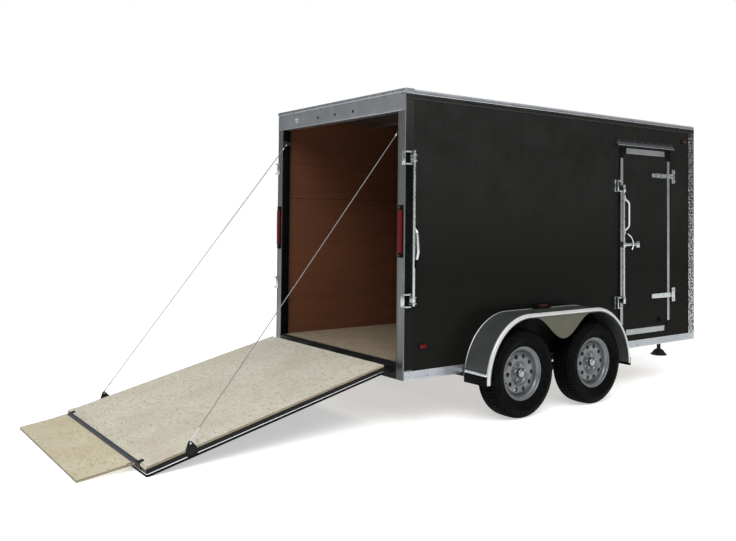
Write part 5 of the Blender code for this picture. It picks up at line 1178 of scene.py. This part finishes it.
def makeDripCap():      # flange, nose and screws of the cap over the door; the nose strip's bright finish is a painted highlight
    low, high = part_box("drip_cap")
    face, top = -wallFace - dripCap["flangeOut"], high.z
    boxes("dripFlange", "skin", [((low.x, high.x), (face, -wallFace - dripCap["flangeGap"]),
                                  (top - dripCap["flangeLow"], top + dripCap["flangeHigh"]))],
          dripCap["flangeSoften"])
    boxes("dripNoseHighlight", "trim", [((low.x + dripCap["noseIn"], high.x - dripCap["noseIn"]),
                                shift(low.y, dripCap["nose"]), shift(low.z, dripCap["noseZ"]))],
          dripCap["noseSoften"])
    shape = bmesh.new()
    z, end = top + dripCap["screwUp"], dripCap["screwEnd"]
    screwRow(shape, (low.x + end, face, z), (high.x - end, face, z), dripCap["screwGap"], (0, -1, 0),
             *dripCap["screwHead"])
    place(shape, "dripScrews", "chrome")


makeDoorCorners()
makeDoorTrim()
makeStrap("upper")
makeStrap("lower")
makeDoorLock()
makeLockKeepers()
makeGrabHandle()
makeHoldBack()
makeDripCap()
print("door details ready")


# trim that is only boxes and rows of screws, drawn on the axes of the part that carries it

rampHinge, flapHinge = jointPlace["ramp_hinge"], jointPlace["flap_fold"]
rampLean, flapLean = math.radians(13.53953), math.radians(7.77321)
axes = {"trailer": Matrix.Translation((rearFace, 0, 0)),        # X counts from the rear face or the hinge
        "ramp": Matrix.Translation(rampHinge) @ Matrix.Rotation(-rampLean, 4, "Y"),
        "flap": Matrix.Translation(flapHinge) @ Matrix.Rotation(-flapLean, 4, "Y")}
bowSpots = (0.35, 0.973, 1.596, 2.219, 2.842, 3.465)


def both(x, y, z, *soft):       # a box and its mirror image
    return (x, y, z, *soft), (x, (-y[1], -y[0]), z, *soft)


boxTrim = {     # body, finish, then boxes as X, Y, Z, softening and its steps
    "headerRail": ("trailer", "aluminium", ((-0.005, 0.079), (-0.932, 0.932), (2.444, 2.473), 0.003, 3)),
    "headerLip": ("trailer", "aluminium", ((-0.004, 0.001), (-0.883, 0.883), (2.3098, 2.33), 0.0015)),
    "headerClip": ("trailer", "hardware", ((-0.004, -0.0003), (0.585, 0.619), (2.352, 2.398), 0.0015),
                   ((-0.022, -0.003), (0.595, 0.609), (2.362, 2.388), 0.003, 3)),
    # roof bows and ceiling take the painted shade finish
    "roofBows": ("trailer", "ceiling", *(((x - 0.019, x + 0.019), (-0.883, 0.883), (2.3935, 2.4285), 0.003)
                                         for x in bowSpots)),
    "ceiling": ("trailer", "ceiling", ((0.08, 3.615), (-0.883, 0.883), (2.4283, 2.4292))),
    # near-black lines at the joints of the lining panels, painted shadow
    "panelJoints": ("trailer", "seam", ((0.08, 2.4), (-0.883, -0.8824), (1.70, 1.703)),
                    ((3.3, 3.615), (-0.883, -0.8824), (1.70, 1.703)),
                    ((0.08, 3.615), (0.8824, 0.883), (1.70, 1.703)),
                    *both((1.3, 1.303), (0.8824, 0.883), (0.4803, 2.3995)),
                    ((2.41, 2.413), (0.8824, 0.883), (0.4803, 2.3995)),
                    ((3.6144, 3.615), (-0.883, 0.883), (1.70, 1.703)),
                    ((3.6144, 3.615), (-0.30, -0.297), (0.4803, 2.3995)),
                    ((3.6144, 3.615), (0.31, 0.313), (0.4803, 2.3995))),
    "cornerBattens": ("trailer", "plywood", *both((3.593, 3.614), (0.855, 0.882), (0.4793, 2.3895), 0.002)),
    "threshold": ("trailer", "trim", ((0.036, 0.050), (-0.842, 0.842), (0.4785, 0.4809), 0.0008),
                  ((0.0372, 0.0412), (-0.842, 0.842), (0.4807, 0.4817), 0.0005)),
    "floorEnd": ("trailer", "floor", ((0.050, 0.0755), (-0.842, 0.842), (0.4785, 0.4791), 0.0002)),
    "rampEdgeTrim": ("ramp", "bright", *both((-1.843, -0.075), (0.8233, 0.8272), (0.0135, 0.0200), 0.001),
                     ((-1.848, -1.8453), (-0.826, 0.826), (0.0135, 0.0200), 0.001)),
    "rampSkinEdge": ("ramp", "skin", *both((-1.844, -0.075), (0.8233, 0.833), (0.0005, 0.0125), 0.002),
                     ((-1.854, -1.8453), (-0.831, 0.831), (0.0005, 0.0125), 0.002)),
    "deckEdges": ("ramp", "boardEdge", *both((-1.844, -0.056), (0.8208, 0.8218), (0.0456, 0.0592))),
    "deckEnd": ("ramp", "deck", ((-1.8365, -1.779), (-0.822, 0.822), (0.0602, 0.0640), 0.001)),
    "flapEdges": ("flap", "boardEdge", *both((-0.352, -0.012), (0.7002, 0.7010), (-0.0175, -0.0028)),
                  ((-0.3528, -0.3522), (-0.7, 0.7), (-0.0175, -0.0028))),
}
sideBoxTrim = {     # the same on each side, with Y as the distance from the middle
    # black strips on the jambs of the rear opening, painted shade in the wall's thickness
    "jambShade": ("trailer", "plastic", ((0, 0.074), (0.8395, 0.8427), (0.485, 2.168), 0.001),
             ((0, 0.074), (0.8395, 0.8427), (2.212, 2.309), 0.001)),
    "postFolds": ("trailer", "upright", ((-0.0022, 0.001), (0.846, 0.852), (0.369, 2.308), 0.001),
                  ((-0.0022, 0.001), (0.915, 0.921), (0.369, 2.308), 0.001)),
    # black strips on the skin and over the bracket plates, between the post and the lock bar
    "darkStripsByLock": ("trailer", "plastic", ((0.0025, 0.066), (0.9283, 0.9302), (0.992, 1.912), 0.0006),
                    ((0.0025, 0.041), (0.9343, 0.9362), (0.9025, 0.9775), 0.0006),
                    ((0.0025, 0.041), (0.9343, 0.9362), (1.9275, 2.0025), 0.0006)),
    "skinTurnover": ("trailer", "skin", ((0.004, 3.662), (0.927, 0.9335), (2.396, 2.434), 0.0008),
                     ((0.004, 0.0765), (0.927, 0.9288), (0.437, 2.396), 0.0004)),
    "roofHem": ("trailer", "bright", ((0.004, 3.662), (0.928, 0.9345), (2.434, 2.4385), 0.0012)),
}
screwTrim = {       # body, finish, outward, head's radius and height, then rows from, to and their gap
    "headerScrews": ("trailer", "plastic", (-1, 0, 0), (0.0045, 0.003),
                     ((-0.0052, -0.89, 2.458), (-0.0052, 0.89, 2.458), 0.11),
                     ((-0.0002, -0.89, 2.436), (-0.0002, 0.89, 2.436), 0.22)),
    "thresholdScrews": ("trailer", "hardware", (0, 0, 1), (0.0035, 0.0014),
                        ((0.0457, -0.8, 0.4809), (0.0457, 0.8, 0.4809), 0.2)),
    "deckScrews": ("ramp", "hardware", (0, 0, 1), (0.004, 0.0012),
                   *(((-1.745, y, 0.060), (-0.115, y, 0.060), 0.28) for y in (-0.79, 0.79))),
    "flapBolts": ("flap", "hinge", (0, 0, 1), (0.0045, 0.002),
                  ((-0.0185, -0.64, 0.0013), (-0.0185, 0.64, 0.0013), 0.16)),
}
sideScrewTrim = {
    "postScrews": ("trailer", "skin", (0, 1, 0), (0.004, 0.0028),
                   ((0.035, 0.928, 0.415), (0.035, 0.928, 0.84), 0.16),
                   ((0.035, 0.928, 1.06), (0.035, 0.928, 1.9), 0.16)),
    "edgeScrews": ("trailer", "chrome", (0, 1, 0), (0.0042, 0.0028),
                   ((0.12, 0.9323, 2.4455), (3.62, 0.9323, 2.4455), 0.1),
                   *(((start, 0.9323, z), (end, 0.9323, z), 0.2) for start, end in ((0.05, 0.56), (2.31, 3.6))
                     for z in (0.388, 0.4215))),
}


def settle(shape, name, body, finish):      # turns what was drawn on a body's own axes into its place
    bmesh.ops.transform(shape, matrix=axes[body], verts=shape.verts)
    return place(shape, name, finish, body)


def makeBoxTrim(name, body, finish, *rows, sign=1):
    shape = bmesh.new()
    for x, y, z, *soft in rows:
        block(shape, x, sideSpan(sign, *y), z, *soft)
    settle(shape, name, body, finish)


def makeScrewTrim(name, body, finish, outward, head, *rows, sign=1):
    shape = bmesh.new()
    mirror = Matrix.Diagonal((1, sign, 1))
    for start, end, gap in rows:
        screwRow(shape, mirror @ Vector(start), mirror @ Vector(end), gap, mirror @ Vector(outward), *head)
    settle(shape, name, body, finish)


for name, row in boxTrim.items():
    makeBoxTrim(name, *row)
for name, row in screwTrim.items():
    makeScrewTrim(name, *row)
for side, sign in sides.items():
    for name, row in sideBoxTrim.items():
        makeBoxTrim(name + side.title(), *row, sign=sign)
    for name, row in sideScrewTrim.items():
        makeScrewTrim(name + side.title(), *row, sign=sign)
print("trim ready")


# rear end and inside

plug = {"y": (0.257, 0.0, -0.257), "z": 2.3676, "x": (-0.0015, 0.006), "radius": 0.0115}
joint = {-1: (1.3,), 1: (1.3, 2.41), "screwOff": (-0.02, 0.024), "z": (0.5383, 2.3495), "y": 0.883,
         "gap": 0.2,
         "head": (0.0035, 0.0014)}
rearLock = {"x": 0.058, "y": 0.036, "radius": 0.0102, "barSides": 28, "brackets": (0.94, 1.965),
            "plate": ((-0.048, 0.03), 0.006, 0.0305), "jaw": (0.0165, 0.003, 0.014),
            "jaws": (-0.0225, 0.0225),
            "jawHalf": 0.0045, "sleeve": (0.012, 0.0145), "hooks": (-0.050, 0.038), "hookTall": 0.012,
            "hook": (-0.011, -0.018), "hookOut": (0.0062, 0.032), "strap": (-0.0055, -0.0004),
            "strapIn": 0.034, "strapHalf": 0.050, "leverRadius": 0.0095, "tipRadius": 0.0105,
            "leverBend": (0.07, 8), "tipBend": 0.01,
            "lever": ((0, 0, 1.462), (0.004, 0.034, 1.43), (0.012, 0.036, 1.28), (0.010, 0.016, 1.222)),
            "tip": ((0.0105, 0.020, 1.235), (0.006, 0.008, 1.175)), "boltAt": 0.0215, "boltApart": 0.018,
            "bolt": (0.005, 0.0045)}


def makePlugs():        # rims of the lamp wire holes in the header
    shape = bmesh.new()
    for y in plug["y"]:
        start, end = ((x, y, plug["z"]) for x in alongSpan(*plug["x"]))
        barBetween(shape, start, end, plug["radius"], None, 24)
    place(shape, "headerPlugs", "plastic")


def makePanelScrews():  # beside the upright joints of the wall panels
    shape = bmesh.new()
    for sign in sides.values():
        for x in (along(spot + off) for spot in joint[sign] for off in joint["screwOff"]):
            start, end = ((x, sign * joint["y"], z) for z in joint["z"])
            screwRow(shape, start, end, joint["gap"], (0, -sign, 0), *joint["head"])
    place(shape, "panelScrews", "hardware")


def makeRearLock(side, sign):
    low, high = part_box("rear_lock_" + side)
    title = side.title()
    axis = Vector((along(rearLock["x"]), sign * (wallFace + rearLock["y"]), 0))
    skin, deep = wallFace + seat, wallFace + rearLock["y"]
    shape = bmesh.new()
    upright(shape, axis, [(low.z, high.z, rearLock["radius"], None, rearLock["barSides"])])
    ends, thick, tall = rearLock["plate"]
    jawX, jawIn, jawOut = rearLock["jaw"]
    sleeve, radius = rearLock["sleeve"]
    for z in rearLock["brackets"]:
        block(shape, shift(axis.x, ends), sideSpan(sign, skin, skin + thick), span(z, tall), steelEdge)
        for offset in rearLock["jaws"]:
            block(shape, span(axis.x, jawX), sideSpan(sign, skin + jawIn, deep + jawOut),
                  span(z + offset, rearLock["jawHalf"]), roundEdge, 3)
        upright(shape, axis, [(z - sleeve, z + sleeve, radius, None, rearLock["barSides"])])
    piece = place(shape, "rearLock" + title, "hardware")
    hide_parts("rear_lock_" + side)
    shape = bmesh.new()     # the hooks in which the ramp's cams sit, reaching past the post
    reach = along(rearLock["hook"][0]), axis.x + rearLock["hook"][1]
    near, far = shift(skin, rearLock["hookOut"])
    for z in rearLock["brackets"]:
        for offset in rearLock["hooks"]:
            block(shape, reach, sideSpan(sign, near, far), shift(z + offset, (0, rearLock["hookTall"])),
                  roundEdge)
        block(shape, alongSpan(*rearLock["strap"]), sideSpan(sign, wallFace - rearLock["strapIn"], near),
              span(z, rearLock["strapHalf"]), steelEdge)
    place(shape, "rearHooks" + title, "hardware")
    lever, tip = ([axis + Vector((x, sign * y, z)) for x, y, z in rearLock[part]]
                  for part in ("lever", "tip"))
    pipe("rearLever" + title, bend(lever, *rearLock["leverBend"]), rearLock["leverRadius"], "hardware")
    pipe("rearLeverTip" + title, bend(tip, rearLock["tipBend"]), rearLock["tipRadius"], "plastic")
    shape = bmesh.new()
    for z in rearLock["brackets"]:
        for height in span(z, rearLock["boltApart"]):
            hexHead(shape, (axis.x + rearLock["boltAt"], sign * (skin + thick), height), (0, sign, 0),
                    *rearLock["bolt"])
    place(shape, "rearLockBolts" + title, "zinc")


makePlugs()
makePanelScrews()
for side, sign in sides.items():
    makeRearLock(side, sign)
print("rear end ready")


# flap's end and cables

flapEnd = {"half": 0.699, "outline": ((-0.130, -0.0021), (-0.030, -0.0021), (-0.030, 0.0022),
                                      (-0.0312, 0.0030), (-0.068, 0.0030), (-0.130, -0.0018))}
cable = {"radius": 0.0032, "y": 0.826, "segments": 40, "sleeve": (0.03, 0.075, 0.0060, None, 20),
         "snap": (-0.006, 0.03, 0.0042, None, 16), "eye": ((-0.003, 0.006), 0.012, 0.0145, 0.003),
         "foot": ((-0.09, -0.045, 0.0062, None, 20), (-0.045, 0.004, 0.0048, None, 16)),
         "bolt": (-1.555, 0.092), "boltHalf": 0.008, "boltRadius": 0.006}


def makeFlapEnd():      # the board's end over the outer half of the leaf
    shape = bmesh.new()
    half = flapEnd["half"]
    raised(shape, ring(shape, [(x, -half, z) for x, z in flapEnd["outline"]]), Vector((0, 2 * half, 0)))
    settle(shape, "flapEnd", "flap", "flap")


def makeCable(side, sign):
    points = [vertex.co.copy() for vertex in nodes["cable_" + side].data.vertices]
    start, end = max(points, key=lambda point: point.z), min(points, key=lambda point: point.z)
    start.y = end.y = sign * cable["y"]
    line, length = (end - start).normalized(), (end - start).length
    shape = bmesh.new()
    barBetween(shape, start, end, cable["radius"], None, 12)
    sleeves = []
    for low, high, *size in (cable["sleeve"], cable["snap"]):       # swaged sleeve and snap at the post
        sleeves += barBetween(shape, start + line * low, start + line * high, *size)
    for face in {face for vert in sleeves for face in vert.link_faces}:
        face.material_index = 1
    for index in range(1, cable["segments"]):
        bmesh.ops.bisect_plane(shape, geom=shape.verts[:] + shape.edges[:] + shape.faces[:],
                               plane_co=start + line * length * index / cable["segments"], plane_no=line)
    mesh = bpy.data.meshes.new("rope" + side.title())
    shape.to_mesh(mesh)
    shape.free()
    rope = bpy.data.objects.new("rope" + side.title(), mesh)
    bpy.context.scene.collection.objects.link(rope)
    mesh.materials.append(finishes["rope"])
    mesh.materials.append(finishes["hardware"])
    mesh.shade_smooth()
    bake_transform(rope)
    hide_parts("cable_" + side)
    ends, wide, tall, soften = cable["eye"]     # eye plate on the post's anchor
    boxes("ropeTop" + side.title(), "frame",
          [(shift(start.x, ends), span(start.y, wide), span(start.z, tall))], soften)
    shape = bmesh.new()
    for low, high, *size in cable["foot"]:
        barBetween(shape, end + line * low, end + line * high, *size)
    place(shape, "ropeFoot" + side.title(), "hardware", "ramp")
    shape = bmesh.new()     # bolt through the bracket's eye
    x, z = cable["bolt"]
    spot = axes["ramp"] @ Vector((x, sign * cable["y"], z))
    reach = Vector((0, cable["boltHalf"], 0))
    barBetween(shape, spot - reach, spot + reach, cable["boltRadius"])
    place(shape, "eyeBolt" + side.title(), "hardware", "ramp")


makeFlapEnd()
for side, sign in sides.items():
    makeCable(side, sign)
print("ramp ready")


# tongue and springs

jack = {"x": along(4.457), "tube": ((0.16, 0.84, 0.028, None, 40), (0.838, 0.905, 0.034, None, 40),
                                    (0.905, 0.93, 0.034, 0.024, 40), (0.16, 0.175, 0.031, None, 40)),
        "plate": ((-0.052, 0.031), 0.052, (0.4603, 0.4700), 0.003), "bolt": (0.0065, 0.006),
        "bolts": ((-0.040, -0.040), (-0.040, 0.040), (0.022, -0.042), (0.022, 0.042)),
        "crank": ((0.0, 0.885), (0.09, 0.885), (0.09, 0.715), (0.19, 0.715)), "crankBend": 0.02,
        "crankRadius": 0.0072, "grip": ((0.105, 0.188), 0.715, 0.013, 0.011), "steps": 48,
        "leg": ((0.0, 0.1595), (0.022, 0.1595), (0.022, 0.072), (0.030, 0.066), (0.044, 0.060),
                (0.056, 0.048), (0.066, 0.032), (0.074, 0.020), (0.088, 0.012), (0.088, 0.0), (0.0, 0.0))}
coupler = {"lever": ((-0.150, -0.028), 0.009, (-0.002, 0.008), 0.003), "pin": (-0.060, 0.020, -0.010, 0.005),
           "bolts": (0.02, 0.075), "boltY": (0.05, 0.2), "boltZ": -0.0300, "bolt": (0.0075, 0.007),
           "loop": (-0.10, 0.09, 0.466, 0.05), "loopSteps": 12, "loopRadius": 0.006}
springs = {"axles": (1.01, 1.86), "y": 0.86, "z": 0.205, "boltX": 0.038, "boltY": 0.027, "boltTall": 0.115,
           "boltRadius": 0.0055, "nutUp": 0.008, "nut": (0.010, 0.009),
           "plates": ((0.05, 0.037, (0.205, 0.2127), 0.002), (0.048, 0.033, (0.313, 0.322), 0.003))}


def makeJack():
    x = jack["x"]
    foot = Vector((x, 0, 0))
    shape = bmesh.new()
    upright(shape, foot, jack["tube"])
    ends, half, z, soften = jack["plate"]
    block(shape, shift(x, ends), (-half, half), z, soften)
    piece = place(shape, "jackTube", "zinc")
    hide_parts("jack_tube")
    pipe("jackCrank", bend([(x, y, z) for y, z in jack["crank"]], jack["crankBend"]), jack["crankRadius"],
         "zinc")
    shape = bmesh.new()
    (near, far), z, *radii = jack["grip"]
    barBetween(shape, (x, near, z), (x, far, z), *radii, 24)
    place(shape, "crankGrip", "plastic")
    shape = bmesh.new()     # leg with its flared foot
    spun(shape, [foot + Vector((radius, 0, height)) for radius, height in jack["leg"]], foot, (0, 0, 1),
         jack["steps"])
    piece = place(shape, "jackLeg", "frame")
    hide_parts("jack_leg")
    shape = bmesh.new()
    for boltX, boltY in jack["bolts"]:
        hexHead(shape, (x + boltX, boltY, jack["plate"][2][1]), (0, 0, 1), *jack["bolt"])
    place(shape, "jackBolts", "zinc")


def makeCoupler():      # lever and pin of the coupler's latch, its bolts and the safety chains' anchor
    low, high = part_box("coupler")
    shape = bmesh.new()
    ends, half, z, soften = coupler["lever"]
    block(shape, shift(high.x, ends), (-half, half), shift(high.z, z), soften, 3)
    back, half, up, radius = coupler["pin"]
    start, end = ((high.x + back, y, high.z + up) for y in (-half, half))
    barBetween(shape, start, end, radius, None, 20)
    place(shape, "couplerLatch", "zinc")
    shape = bmesh.new()
    wide, narrowing = coupler["boltY"]
    for ahead in coupler["bolts"]:
        for y in span(0, wide - ahead * narrowing):
            hexHead(shape, (low.x + ahead, y, high.z + coupler["boltZ"]), (0, 0, 1), *coupler["bolt"])
    place(shape, "couplerBolts", "zinc")
    back, y, z, radius = coupler["loop"]
    angles = (math.pi * step / coupler["loopSteps"] for step in range(coupler["loopSteps"] + 1))
    points = [(low.x + back - radius * math.cos(angle), y, z + radius * math.sin(angle)) for angle in angles]
    pipe("chainAnchor", points, coupler["loopRadius"], "frame")


def makeSprings(side, sign):    # U bolts that hold the leaf springs on the axles, with their nuts
    y = sign * springs["y"]
    shape = bmesh.new()
    for centre in springs["axles"]:
        for boltX in span(along(centre), springs["boltX"]):
            for boltY in span(y, springs["boltY"]):
                foot = Vector((boltX, boltY, springs["z"]))
                upright(shape, foot, [(0, springs["boltTall"], springs["boltRadius"], None, 12)])
                hexHead(shape, foot + Vector((0, 0, springs["nutUp"])), (0, 0, -1), *springs["nut"])
        for half, wide, z, soften in springs["plates"]:
            block(shape, span(along(centre), half), span(y, wide), z, soften)
    place(shape, "springBolts" + side.title(), "frame")


makeJack()
makeCoupler()
for side, sign in sides.items():
    makeSprings(side, sign)
print("tongue and springs ready")
